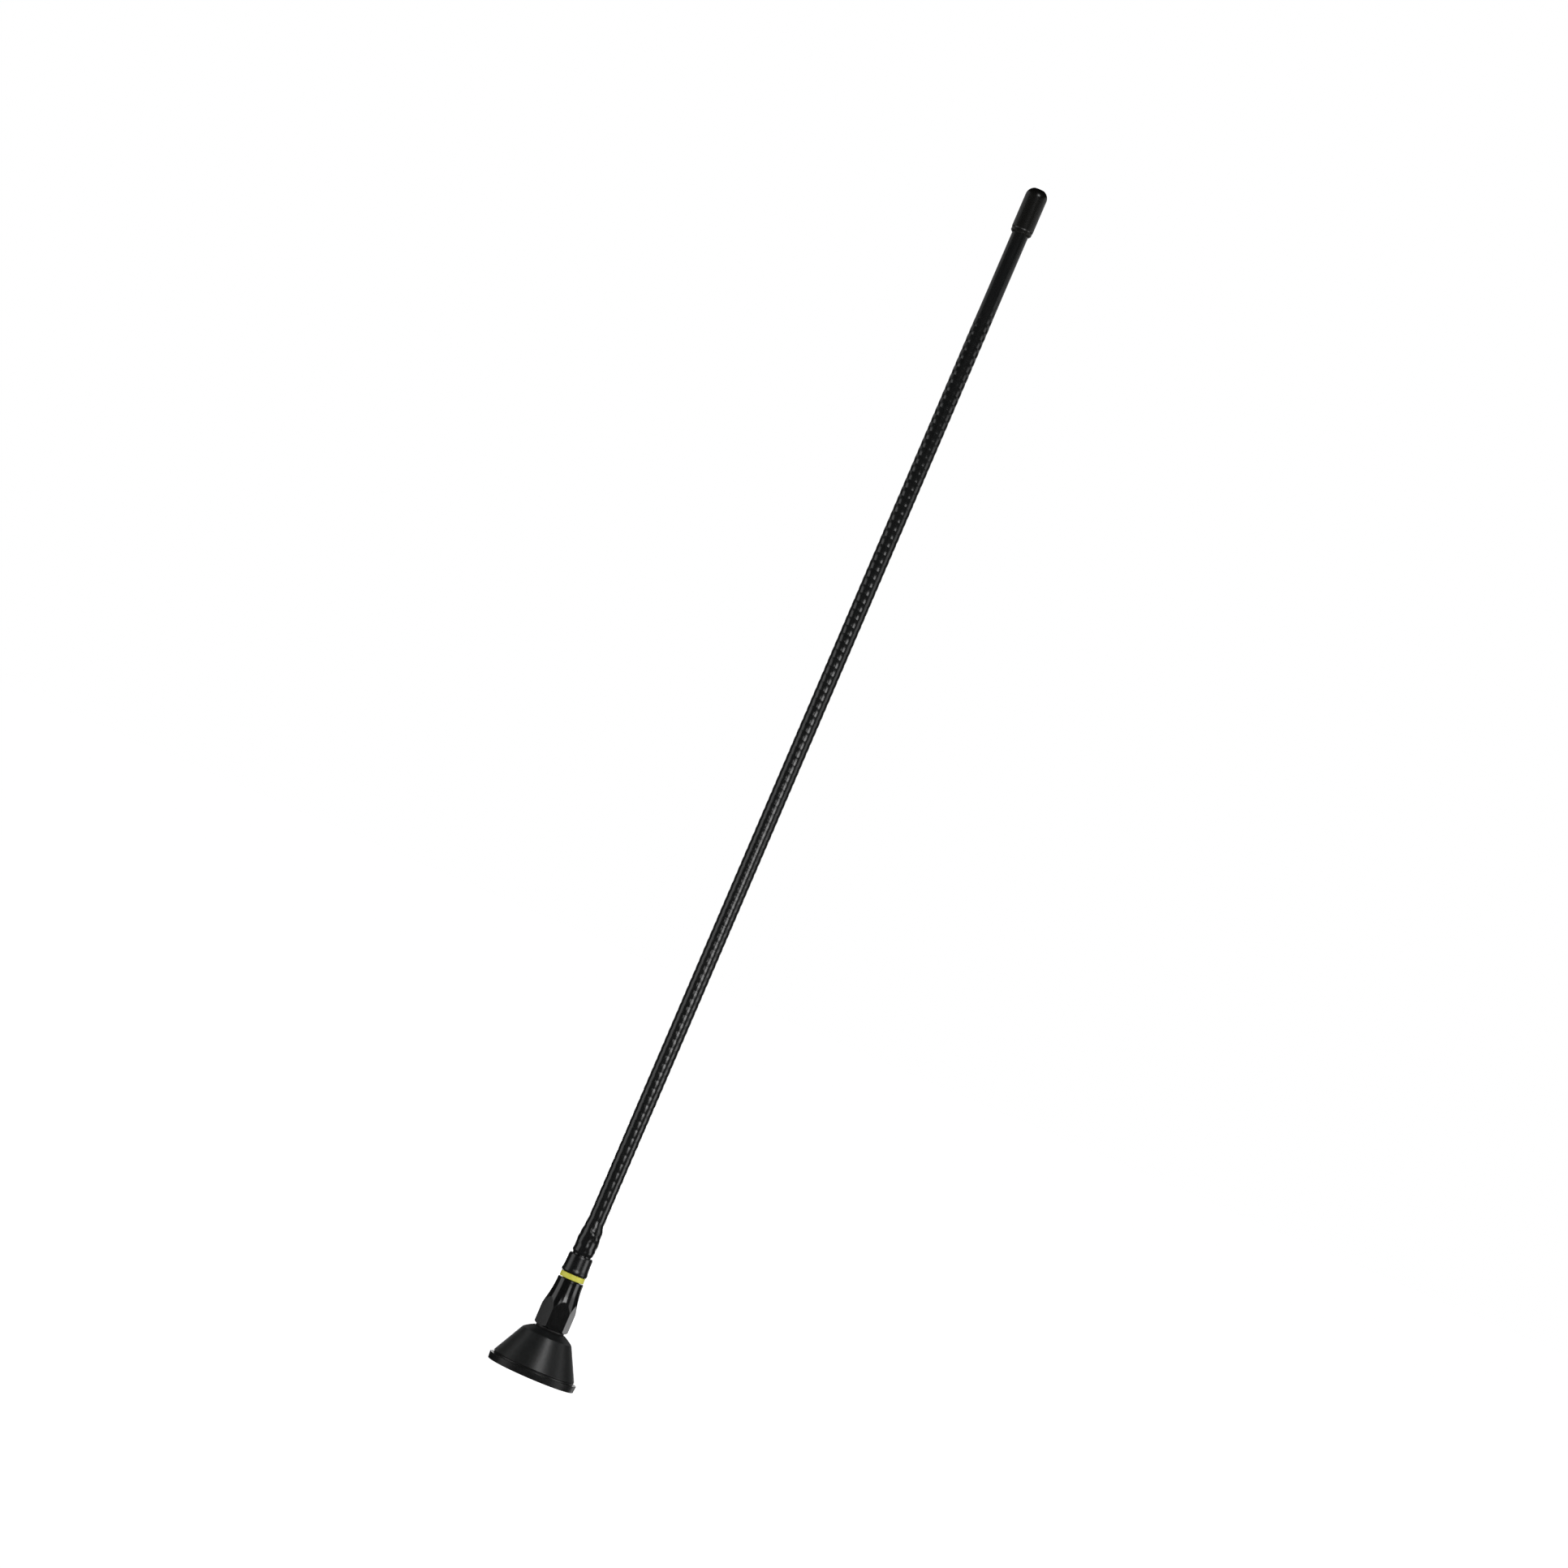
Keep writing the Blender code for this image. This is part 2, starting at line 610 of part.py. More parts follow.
def on_winding(turns, radius):
    """A point on the left-handed helix, which starts at -X and passes the front going down."""
    angle = math.pi - 2 * math.pi * turns
    return (radius * math.cos(angle), radius * math.sin(angle), turn_height(turns))


def lead_points():
    """The wire's lead: half a steep turn round the front on to the spigot, then down it."""
    lead_top = SPIGOT_LAND_TOP + SPIGOT_TIP / 2
    points = [(LEAD_RADIUS, 0.0, lead_top - LEAD_LENGTH)]
    for step in range(WIRE_STEPS, 0, -1):
        share = step / WIRE_STEPS
        angle = math.pi + math.pi * share
        radius = COIL_RADIUS + (LEAD_RADIUS - COIL_RADIUS) * share
        height = COIL_FOOT + (lead_top - COIL_FOOT) * share
        points.append((radius * math.cos(angle), radius * math.sin(angle), height))
    return points


def wire_winding():
    """The radiating wire, from its lead on the spigot to its last turn near the top."""
    points = lead_points()
    for step in range(COIL_TURNS * WIRE_STEPS + 1):
        points.append(on_winding(step / WIRE_STEPS, COIL_RADIUS))
    wire("wire_winding", points, WIRE_RADIUS, WIRE_SIDES, COPPER)


def lead_solder():
    """The flat bead of solder on the spigot, just under the end of the lead."""
    mesh = bpy.data.meshes.new("lead_solder")
    builder = bmesh.new()
    bmesh.ops.create_icosphere(builder, subdivisions=1, radius=0.5)
    lead_foot = SPIGOT_LAND_TOP + SPIGOT_TIP / 2 - LEAD_LENGTH
    for vertex in builder.verts:
        x, y, z = vertex.co
        vertex.co.x = LEAD_RADIUS + x * 2 * WIRE_RADIUS
        vertex.co.y = y * SOLDER_WIDTH
        vertex.co.z = lead_foot - CLEARANCE + (z - 0.5) * SOLDER_LENGTH
    builder.to_mesh(mesh)
    builder.free()
    link("lead_solder", mesh, STEEL)


def ripple_share(turns):
    """How strongly the wire shows through the sleeve, from none at both ends of the winding."""
    from_foot = turns / RIPPLE_FADE_TURNS
    from_top = (COIL_TURNS - turns) / RIPPLE_FADE_TURNS
    return max(0.0, min(1.0, from_foot, from_top))


def sleeve_point(around, row):
    """A point of the rippled wall: rows run along the wire, with a ridge at each whole turn."""
    turns = max(0.0, min(float(COIL_TURNS), row - around))
    radius = SLEEVE_RADIUS + RIPPLE * ripple_share(turns) * math.cos(math.pi * row) ** 2
    angle = math.pi - 2 * math.pi * around
    return (radius * math.cos(angle), radius * math.sin(angle), turn_height(turns))


def sleeve_foot_profile():
    """The sleeve below the winding and up its bore, as (radius, height) rings."""
    collar_line = SPIGOT_LAND_FOOT + CLEARANCE
    bulge_foot = collar_line + SPIGOT_LAND / 4
    bulge_top = SPIGOT_LAND_TOP + SPIGOT_TIP / 2
    swell = (SLEEVE_RADIUS + BULGE_RADIUS) / 2
    return [
        (swell, (SPIGOT_LAND_TOP + COIL_FOOT) / 2),
        (BULGE_RADIUS, bulge_top),
        (BULGE_RADIUS, bulge_foot),
        (SLEEVE_FOOT_RADIUS, collar_line),
        (SLEEVE_FOOT_RADIUS, SLEEVE_FOOT),
        (SLEEVE_FOOT_BORE, SLEEVE_FOOT),
        (SLEEVE_FOOT_BORE, collar_line),
        (BULGE_BORE, bulge_foot),
        (BULGE_BORE, bulge_top),
        (SLEEVE_BORE, COIL_FOOT),
        (SLEEVE_BORE, ROD_TOP),
        (SLEEVE_RADIUS, ROD_TOP),
        (SLEEVE_RADIUS, turn_height(COIL_TURNS)),
    ]


def extrude_ring(builder, ring, radius, height):
    """Extrude a ring of edges to another radius and height, and return the new ring."""
    made = bmesh.ops.extrude_edge_only(builder, edges=ring)["geom"]
    for vertex in [part for part in made if isinstance(part, bmesh.types.BMVert)]:
        share = radius / math.hypot(vertex.co.x, vertex.co.y)
        vertex.co.x *= share
        vertex.co.y *= share
        vertex.co.z = height
    return [part for part in made if isinstance(part, bmesh.types.BMEdge)]


def heat_shrink_sleeve():
    """The shrink tube: a grid wrapped along the winding, with a turned foot and bore."""
    rows = 2 * (COIL_TURNS + 1)
    builder = bmesh.new()
    bmesh.ops.create_grid(builder, x_segments=SLEEVE_SIDES, y_segments=rows, size=0.5)
    for vertex in builder.verts:
        around = vertex.co.x + 0.5
        row = round((vertex.co.y + 0.5) * rows) / 2
        vertex.co = sleeve_point(around, row)
    bmesh.ops.remove_doubles(builder, verts=builder.verts, dist=MERGE_DISTANCE)
    foot = [edge for edge in builder.edges if edge.is_boundary and edge.verts[0].co.z < ROD_TOP / 2]
    for radius, height in sleeve_foot_profile():
        foot = extrude_ring(builder, foot, radius, height)
    bmesh.ops.remove_doubles(builder, verts=builder.verts, dist=MERGE_DISTANCE)
    bmesh.ops.recalc_face_normals(builder, faces=builder.faces)
    mesh = bpy.data.meshes.new("heat_shrink_sleeve")
    builder.to_mesh(mesh)
    builder.free()
    shade(mesh)
    link("heat_shrink_sleeve", mesh, SHRINK)


def tip_cap():
    """The domed cap over the top of the whip, hollow below, with a rounded lower rim."""
    dome_centre = (CAP_RADIUS - CAP_DOME_RADIUS, CAP_DOME_FOOT)
    dome = arc(dome_centre, (CAP_DOME_RADIUS, CAP_DOME_RADIUS), 90.0, 0.0, DOME_STEPS)
    rim_width = CAP_WALL - CAP_RIM_LAND
    rim_centre = (CAP_RADIUS - rim_width, CAP_FOOT + CAP_RIM_HEIGHT)
    rim = arc(rim_centre, (rim_width, CAP_RIM_HEIGHT), 0.0, -90.0, RIM_STEPS)
    profile = [
        (0.0, WHIP_TOP),
        *dome,
        *rim,
        (CAP_BORE, CAP_FOOT),
        (CAP_BORE, CAP_DOME_FOOT),
        (0.0, CAP_DOME_FOOT),
    ]
    turned("tip_cap", profile, VINYL, CAP_STEPS)


clear_scene()
ANTENNA = new_collection("fiberglass_antenna")
CUTTERS = new_collection("cutters")

VINYL = material("black_vinyl", (0.02, 0.02, 0.022), 0.6)
SHRINK = material("shrink_tube", (0.012, 0.012, 0.014), 0.35)
PLATED = material("black_plating", (0.02, 0.02, 0.025), 0.2, 0.9)
YELLOW = material("yellow_plastic", (0.65, 0.6, 0.06), 0.45)
MOULDED = material("moulded_black", (0.018, 0.019, 0.019), 0.4)
RUBBER = material("gasket_rubber", (0.025, 0.025, 0.027), 0.65)
FIBREGLASS = material("fibreglass", (0.55, 0.56, 0.42), 0.4)
COPPER = material("enamelled_copper", (0.5, 0.2, 0.08), 0.3, 1.0)
BRASS = material("brass", (0.62, 0.45, 0.18), 0.3, 1.0)
STEEL = material("zinc_steel", (0.55, 0.55, 0.56), 0.35, 1.0)
NYLON = material("natural_nylon", (0.75, 0.73, 0.66), 0.5)

base_gasket()
base_housing()
mounting_ring()
insulator_disc()
contact_pin()
contact_stud()
washer(
    "lock_washer",
    STUD_HOLE_RADIUS,
    LOCK_WASHER_RADIUS,
    LOCK_WASHER_FOOT,
    LOCK_WASHER_THICKNESS,
    STEEL,
    SMALL_STEPS,
)
washer(
    "seal_washer", STUD_HOLE_RADIUS, SEAL_RADIUS, SEAL_FOOT, SEAL_THICKNESS, RUBBER, RING_STEPS
)
stud_nut()
solder_tag()
feed_wire()
ferrule()
band_ring()
ferrule_collar()
fibreglass_rod()
wire_winding()
lead_solder()
heat_shrink_sleeve()
tip_cap()
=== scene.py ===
"""Dresses the wound whip antenna: detailed pieces over its fixed frame, finishes and a studio.

The antenna stands on the origin with its whip along +Z, and the viewer looks along +Y.
"""

import math

import bpy
from bpy.props import FloatProperty, FloatVectorProperty, IntProperty, PointerProperty
from mathutils import Matrix, Vector


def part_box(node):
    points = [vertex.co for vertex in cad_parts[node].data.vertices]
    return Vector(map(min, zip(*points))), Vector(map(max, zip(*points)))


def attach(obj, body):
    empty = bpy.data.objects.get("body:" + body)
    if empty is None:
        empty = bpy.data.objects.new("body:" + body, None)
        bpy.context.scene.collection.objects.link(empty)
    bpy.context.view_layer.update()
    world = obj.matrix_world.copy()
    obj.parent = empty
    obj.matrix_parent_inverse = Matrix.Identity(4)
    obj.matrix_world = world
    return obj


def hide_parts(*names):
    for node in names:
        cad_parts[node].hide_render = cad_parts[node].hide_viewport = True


bl_info = {
    "name": "Wound Whip Antenna",
    "version": (1, 0, 0),
    "blender": (4, 5, 0),
    "location": "3D View > Sidebar > Antenna",
    "description": "Builds the visible pieces, finishes and studio of a wound whip antenna",
    "category": "Object",
}

MM = 0.001
GAP = 0.3 * MM  # room left between a piece and what lies in it or passes through it
SAME = 0.01 * MM  # heights closer than this count as the same

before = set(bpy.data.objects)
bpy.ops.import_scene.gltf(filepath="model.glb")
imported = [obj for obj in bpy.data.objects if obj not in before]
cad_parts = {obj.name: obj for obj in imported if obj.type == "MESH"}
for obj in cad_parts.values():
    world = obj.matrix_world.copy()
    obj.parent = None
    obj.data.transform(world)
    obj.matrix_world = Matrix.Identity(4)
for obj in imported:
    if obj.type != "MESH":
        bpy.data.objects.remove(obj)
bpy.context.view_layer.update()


def foot_of(node):
    """Height of a node's underside."""
    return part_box(node)[0].z


def top_of(node):
    """Height of a node's top."""
    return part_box(node)[1].z


def radius_of(node):
    """Outer radius of a turned node, which has a corner on the +X axis."""
    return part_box(node)[1].x


def length(name, description, default, **more):
    """A size in metres."""
    return FloatProperty(
        name=name, description=description, default=default, unit="LENGTH", precision=5, **more
    )


def colour(name, description, default):
    """A colour."""
    return FloatVectorProperty(
        name=name, description=description, default=default, subtype="COLOR", min=0.0, max=1.0
    )


def roughness(name, description, default):
    """How rough a finish is."""
    return FloatProperty(
        name=name, description=description, default=default, min=0.0, max=1.0, subtype="FACTOR"
    )


# Sizes and colours


class SleeveSettings(bpy.types.PropertyGroup):
    """The shrink tube over the whip, and the winding that shows through it."""

    colour: colour("Colour", "Colour of the shrink tube", (0.0065, 0.0068, 0.0068))
    roughness: roughness("Roughness", "Roughness of the shrink tube", 0.18)
    pitch: length("Pitch", "Height of one turn of the winding", 4.7 * MM)
    foot_pitch: length("Foot Pitch", "Height of the first turn", 6.4 * MM)
    foot_turns: FloatProperty(
        name="Foot Turns", description="Turns over which the pitch settles", default=4.0
    )
    foot_rise: length("Foot Rise", "Height of the winding's foot over the spigot", 8.5 * MM)
    ridge: length("Ridge", "How far a turn stands out from the tube", 0.17 * MM)
    valley_radius: length("Valley Radius", "Radius of the tube between the turns", 4.58 * MM)
    bulge_radius: length("Bulge Radius", "Radius over the ferrule's spigot", 5.75 * MM)
    wall: length("Wall", "Wall of the tube", 0.42 * MM)
    sides: IntProperty(name="Sides", description="Facets round the tube", default=48)


class CapSettings(bpy.types.PropertyGroup):
    """The soft cap on the tip."""

    colour: colour("Colour", "Colour of the cap", (0.0055, 0.0055, 0.005))
    roughness: roughness("Roughness", "Roughness of the cap", 0.26)
    wall: length("Wall", "Wall of the cap", 1.05 * MM)
    dome: length("Dome", "Radius of the dome's corner", 5.1 * MM)
    dome_end: FloatProperty(
        name="Dome End",
        description="Where the dome's corner meets the flat top",
        default=math.radians(66.0),
        subtype="ANGLE",
    )
    rim: length("Rim", "Height of the chamfer at the rim's foot", 0.9 * MM)
    rim_line: length("Rim Line", "Height of the rim's upper edge", 2.9 * MM)
    rim_step: length("Rim Step", "How far the rim stands back from the cap", 0.22 * MM)


class CollarSettings(bpy.types.PropertyGroup):
    """The collar and the coloured band under it."""

    band_colour: colour("Band Colour", "Colour of the band", (0.53, 0.51, 0.055))
    band_lift: length("Band Lift", "How far the ferrule's neck covers the band", 0.35 * MM)
    roughness: roughness("Roughness", "Roughness of the collar", 0.27)
    lip: length("Lip", "Height of the lip's widest line above the foot", 1.1 * MM)
    flare: length("Flare", "Height of the sweep that runs out into the lip", 1.9 * MM)
    sweep: length("Sweep", "How far the lip stands out from the collar", 0.32 * MM)
    undercut: length("Undercut", "How far the lip draws in at the foot", 0.55 * MM)
    shoulder: length("Shoulder", "Height of the rounded shoulder at the top", 1.3 * MM)
    taper: length("Taper", "How much narrower the shoulder is than the lip", 0.6 * MM)
    top_wall: length("Top Wall", "Wall of the collar at its top", 0.45 * MM)


class FerruleSettings(bpy.types.PropertyGroup):
    """The ferrule, turned from hexagon bar."""

    colour: colour("Colour", "Colour of the plating", (0.0045, 0.0047, 0.0048))
    roughness: roughness("Roughness", "Roughness of the plating", 0.14)
    flats: length("Flats", "Size across the hexagon's flats", 17.0 * MM)
    turn: FloatProperty(
        name="Turn",
        description="Turn of the front flat towards +X",
        default=math.radians(13.125),
        subtype="ANGLE",
    )
    neck_radius: length("Neck Radius", "Radius of the neck under the band", 7.25 * MM)
    shoulder_height: length("Shoulder Height", "Height of the neck's top over the foot", 27.95 * MM)
    flare_radius: length("Flare Radius", "Radius of the flare's sweep", 52.0 * MM)
    chamfer: length("Chamfer", "Height of the chamfer at the hexagon's foot", 0.9 * MM)
    edge: length("Edge", "Rounding of the edges", 0.05 * MM)


class BaseSettings(bpy.types.PropertyGroup):
    """The moulded cone and its rubber rim."""

    colour: colour("Colour", "Colour of the moulding", (0.0105, 0.0112, 0.0112))
    roughness: roughness("Roughness", "Roughness of the moulding", 0.34)
    rubber: colour("Rubber", "Colour of the rubber rim", (0.0065, 0.0067, 0.0067))
    shoulder_radius: length("Shoulder Radius", "Radius at the foot of the shoulder", 14.2 * MM)
    shoulder_drop: length("Shoulder Drop", "Height of the convex shoulder", 3.3 * MM)
    ledge: length("Ledge", "Width of the rim's ledge outside the cone", 1.65 * MM)
    foot_step: length("Foot Step", "How far the cone's foot steps in", 0.5 * MM)
    foot_rise: length("Foot Rise", "Height of the cone's side over its foot", 3.0 * MM)
    wall: length("Wall", "Wall of the cone", 2.2 * MM)
    foot_inset: length("Foot Inset", "How much narrower the rim is at its foot", 0.4 * MM)
    rim_lift: length("Rim Lift", "How far the rim stands up round the cone's foot", 0.75 * MM)
    bend: length("Bend", "How far the shoulder swells out", 0.12 * MM)


class MountSettings(bpy.types.PropertyGroup):
    """The coaxial mount under the base and the metal inside."""

    brass: colour("Brass", "Colour of the machined brass", (0.62, 0.43, 0.16))
    nylon: colour("Nylon", "Colour of the insulator", (0.72, 0.69, 0.6))
    steel: colour("Steel", "Colour of the zinc plate", (0.55, 0.55, 0.57))
    copper: colour("Copper", "Colour of the enamelled wire", (0.55, 0.2, 0.08))
    fibreglass: colour("Fibreglass", "Colour of the rod", (0.5, 0.52, 0.36))
    thread_pitch: length("Thread Pitch", "Pitch of the ring's thread", 1.4 * MM)
    thread_depth: length("Thread Depth", "Depth of the ring's thread", 0.6 * MM)


class StudioSettings(bpy.types.PropertyGroup):
    """Camera, floor and lights."""

    lean: FloatProperty(
        name="Lean",
        description="Roll of the camera, which makes the antenna lean to the right",
        default=math.radians(23.25),
        subtype="ANGLE",
    )
    distance: length("Distance", "Distance of the camera", 3.0)
    height: length("Height", "Height of the camera over the floor", 0.25)
    view_width: length("View Width", "Width of the view at the antenna", 0.8385)
    aim_side: length("Aim Side", "Where the camera looks beside the whip", -0.1 * MM)
    aim_height: length("Aim Height", "Height that the camera looks at", 342.8 * MM)
    floor: colour("Floor", "Colour of the floor", (0.82, 0.82, 0.82))
    # strength of the floor's painted glow round the base, lower than the full glow far off
    floor_glow: FloatProperty(name="Floor Glow", description="Glow near the base", default=0.9)
    ambient: FloatProperty(name="Ambient", description="Dim light from all round", default=0.07)
    ground: FloatProperty(name="Ground", description="Pale glow from below", default=0.5)


def settings(name):
    """The scene's settings of one group."""
    return getattr(bpy.context.scene, name)


# Shapes


def arc(centre, radii, start, end, count):
    """Points of an elliptical arc in the (radius, height) plane, between angles in degrees."""
    points = []
    for step in range(count + 1):
        angle = math.radians(start + (end - start) * step / count)
        points.append(
            (centre[0] + radii[0] * math.cos(angle), centre[1] + radii[1] * math.sin(angle))
        )
    return points


def washer(bore, radius, foot, top):
    """The outline of a flat ring."""
    return [(bore, foot), (radius, foot), (radius, top), (bore, top)]


def extrude_rings(outline, start, region):
    """Extrude the selected ring, or disc where region is set, along (radius, height) points."""
    radius, height = start
    for next_radius, next_height in outline:
        move = {"value": (0.0, 0.0, next_height - height)}
        if region:
            bpy.ops.mesh.extrude_region_move(TRANSFORM_OT_translate=move)
        else:
            bpy.ops.mesh.extrude_edges_move(TRANSFORM_OT_translate=move)
        share = next_radius / radius
        bpy.ops.transform.resize(value=(share, share, 1.0))
        radius, height = next_radius, next_height


def select_edges(piece, chosen):
    """In edit mode, select only the edges that the test on their two ends picks."""
    bpy.ops.mesh.select_mode(type="EDGE")
    bpy.ops.mesh.select_all(action="DESELECT")
    bpy.ops.object.mode_set(mode="OBJECT")
    places = [vertex.co for vertex in piece.data.vertices]
    for edge in piece.data.edges:
        start, end = edge.vertices
        edge.select = chosen(places[start], places[end])
    bpy.ops.object.mode_set(mode="EDIT")


def tidy_shell():
    """Merge the doubles of the mesh in edit mode and turn its faces outwards."""
    bpy.ops.mesh.select_all(action="SELECT")
    bpy.ops.mesh.remove_doubles(threshold=0.002 * MM)
    bpy.ops.mesh.normals_make_consistent(inside=False)
    bpy.ops.object.mode_set(mode="OBJECT")


def turned(name, outline, steps):
    """A ring-shaped piece: a circle extruded round a closed outline of (radius, height) points."""
    bpy.ops.object.select_all(action="DESELECT")
    radius, height = outline[0]
    bpy.ops.mesh.primitive_circle_add(vertices=steps, radius=radius, location=(0, 0, height))
    piece = bpy.context.active_object
    piece.name = name
    bpy.ops.object.mode_set(mode="EDIT")
    extrude_rings([*outline[1:], outline[0]], outline[0], region=False)
    tidy_shell()
    return piece


def turned_solid(name, outline, steps):
    """A solid piece: a disc extruded along an outline of (radius, height) points to another."""
    bpy.ops.object.select_all(action="DESELECT")
    radius, height = outline[0]
    bpy.ops.mesh.primitive_circle_add(
        vertices=steps, radius=radius, fill_type="NGON", location=(0, 0, height)
    )
    piece = bpy.context.active_object
    piece.name = name
    bpy.ops.object.mode_set(mode="EDIT")
    extrude_rings(outline[1:], outline[0], region=True)
    tidy_shell()
    return piece


def place_at_origin(piece):
    """Put a piece's place into its mesh."""
    bpy.ops.object.select_all(action="DESELECT")
    piece.select_set(True)
    bpy.context.view_layer.objects.active = piece
    bpy.ops.object.transform_apply(location=True, rotation=True, scale=True)


def soften(piece, width, angle=25.0, segments=3):
    """Round the edges sharper than the angle and shade the piece smoothly."""
    place_at_origin(piece)
    bevel = piece.modifiers.new("edges", "BEVEL")
    bevel.width = width
    bevel.segments = segments
    bevel.limit_method = "ANGLE"
    bevel.angle_limit = math.radians(angle)
    bevel.use_clamp_overlap = False
    bpy.ops.object.modifier_apply(modifier=bevel.name)
    bpy.ops.object.shade_smooth()
    weighted = piece.modifiers.new("normals", "WEIGHTED_NORMAL")
    bpy.ops.object.modifier_apply(modifier=weighted.name)


def finish_piece(piece, surface, slot, *nodes):
    """Give a piece its finish, and let it stand for its nodes on the antenna's body."""
    piece.data.materials.clear()
    piece.data.materials.append(surface)
    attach(piece, "root")
    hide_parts(*nodes)


def dress(node, surface):
    """Give a node of the frame a better finish."""
    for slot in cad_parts[node].material_slots:
        slot.material = surface


# Finishes


def new_finish(name):
    """A material with its tree and its Principled shader."""
    surface = bpy.data.materials.new(name)
    surface.use_nodes = True
    return surface, surface.node_tree, surface.node_tree.nodes["Principled BSDF"]


def add(tree, kind, **inputs):
    """A node with the given input values, named with underscores for spaces."""
    made = tree.nodes.new(kind)
    for name, value in inputs.items():
        made.inputs[name.replace("_", " ")].default_value = value
    return made


def grain(tree, scale, detail=4.0, stretch=(1.0, 1.0, 1.0)):
    """Noise on the piece's own coordinates: scale counts its grains in a metre."""
    place = add(tree, "ShaderNodeTexCoord")
    mapping = add(tree, "ShaderNodeMapping", Scale=stretch)
    noise = add(tree, "ShaderNodeTexNoise", Scale=scale, Detail=detail, Roughness=0.55)
    tree.links.new(place.outputs["Object"], mapping.inputs["Vector"])
    tree.links.new(mapping.outputs["Vector"], noise.inputs["Vector"])
    return noise.outputs["Fac"]


def spread(tree, source, low, high, start=0.3, end=0.7):
    """Stretch a noise between two values."""
    ramp = add(
        tree, "ShaderNodeMapRange", From_Min=start, From_Max=end, To_Min=low, To_Max=high
    )
    tree.links.new(source, ramp.inputs["Value"])
    return ramp.outputs["Result"]


def tint(tree, source, low, high, start=0.3, end=0.7):
    """Colours from low to high as a noise rises."""
    ramp = tree.nodes.new("ShaderNodeValToRGB")
    ramp.color_ramp.elements[0].position = start
    ramp.color_ramp.elements[0].color = (*low, 1.0)
    ramp.color_ramp.elements[1].position = end
    ramp.color_ramp.elements[1].color = (*high, 1.0)
    tree.links.new(source, ramp.inputs["Fac"])
    return ramp.outputs["Color"]


def bump(tree, source, height, under=None):
    """A surface raised by a noise, by so many metres."""
    relief = add(tree, "ShaderNodeBump", Strength=1.0, Distance=height)
    tree.links.new(source, relief.inputs["Height"])
    if under:
        tree.links.new(under, relief.inputs["Normal"])
    return relief.outputs["Normal"]


def scaled(shade, factor):
    """A colour made lighter or darker."""
    return tuple(min(1.0, part * factor) for part in shade)


def plain_finish(name, shade, rough, grains, relief, variation=0.25, metallic=0.0):
    """A coloured finish with grain in its colour, roughness and relief."""
    surface, tree, shader = new_finish(name)
    shader.inputs["Metallic"].default_value = metallic
    broad = grain(tree, grains / 6)
    fine = grain(tree, grains)
    low, high = scaled(shade, 1 - variation), scaled(shade, 1 + variation)
    tree.links.new(tint(tree, broad, low, high), shader.inputs["Base Color"])
    tree.links.new(
        spread(tree, fine, rough * 0.85, min(1.0, rough * 1.2)), shader.inputs["Roughness"]
    )
    tree.links.new(bump(tree, fine, relief), shader.inputs["Normal"])
    return surface


def shrink_tube_finish():
    """Semi-gloss tube: uneven where it shrank, with faint lines along its length."""
    sleeve = settings("antenna_sleeve")
    surface, tree, shader = new_finish("shrink_tube")
    lines = grain(tree, 900.0, stretch=(1.0, 1.0, 0.04))
    skin = grain(tree, 2600.0)
    waves = grain(tree, 170.0, detail=2.0)
    low, high = scaled(sleeve.colour, 0.75), scaled(sleeve.colour, 1.25)
    tree.links.new(tint(tree, lines, low, high), shader.inputs["Base Color"])
    rough = sleeve.roughness
    tree.links.new(spread(tree, skin, rough * 0.85, rough * 1.2), shader.inputs["Roughness"])
    uneven = bump(tree, waves, 0.04 * MM)
    tree.links.new(bump(tree, skin, 0.002 * MM, uneven), shader.inputs["Normal"])
    return surface


def plating_finish(name, rough):
    """Black plating with the faint rings of the lathe."""
    ferrule = settings("antenna_ferrule")
    surface, tree, shader = new_finish(name)
    rings = grain(tree, 60.0, stretch=(1.0, 1.0, 60.0))
    smudges = grain(tree, 220.0)
    low, high = scaled(ferrule.colour, 0.9), scaled(ferrule.colour, 1.1)
    tree.links.new(tint(tree, smudges, low, high), shader.inputs["Base Color"])
    tree.links.new(spread(tree, smudges, rough * 0.92, rough * 1.08), shader.inputs["Roughness"])
    tree.links.new(bump(tree, rings, 0.0004 * MM), shader.inputs["Normal"])
    shader.inputs["IOR"].default_value = 1.54
    return surface


def brass_finish(name, shade):
    """Machined brass with tool rings and a little tarnish."""
    surface, tree, shader = new_finish(name)
    shader.inputs["Metallic"].default_value = 1.0
    rings = grain(tree, 50.0, stretch=(1.0, 1.0, 50.0))
    tarnish = grain(tree, 260.0)
    tree.links.new(
        tint(tree, tarnish, scaled(shade, 0.6), scaled(shade, 1.1)), shader.inputs["Base Color"]
    )
    tree.links.new(spread(tree, tarnish, 0.42, 0.22), shader.inputs["Roughness"])
    tree.links.new(bump(tree, rings, 0.006 * MM), shader.inputs["Normal"])
    return surface


def fibreglass_finish(shade):
    """Pultruded rod: glass strands along its length in clear resin."""
    surface, tree, shader = new_finish("fibreglass")
    strands = grain(tree, 1800.0, stretch=(1.0, 1.0, 0.02))
    tree.links.new(
        tint(tree, strands, scaled(shade, 0.8), scaled(shade, 1.25)), shader.inputs["Base Color"]
    )
    tree.links.new(spread(tree, strands, 0.45, 0.3), shader.inputs["Roughness"])
    tree.links.new(bump(tree, strands, 0.01 * MM), shader.inputs["Normal"])
    return surface


# Pieces


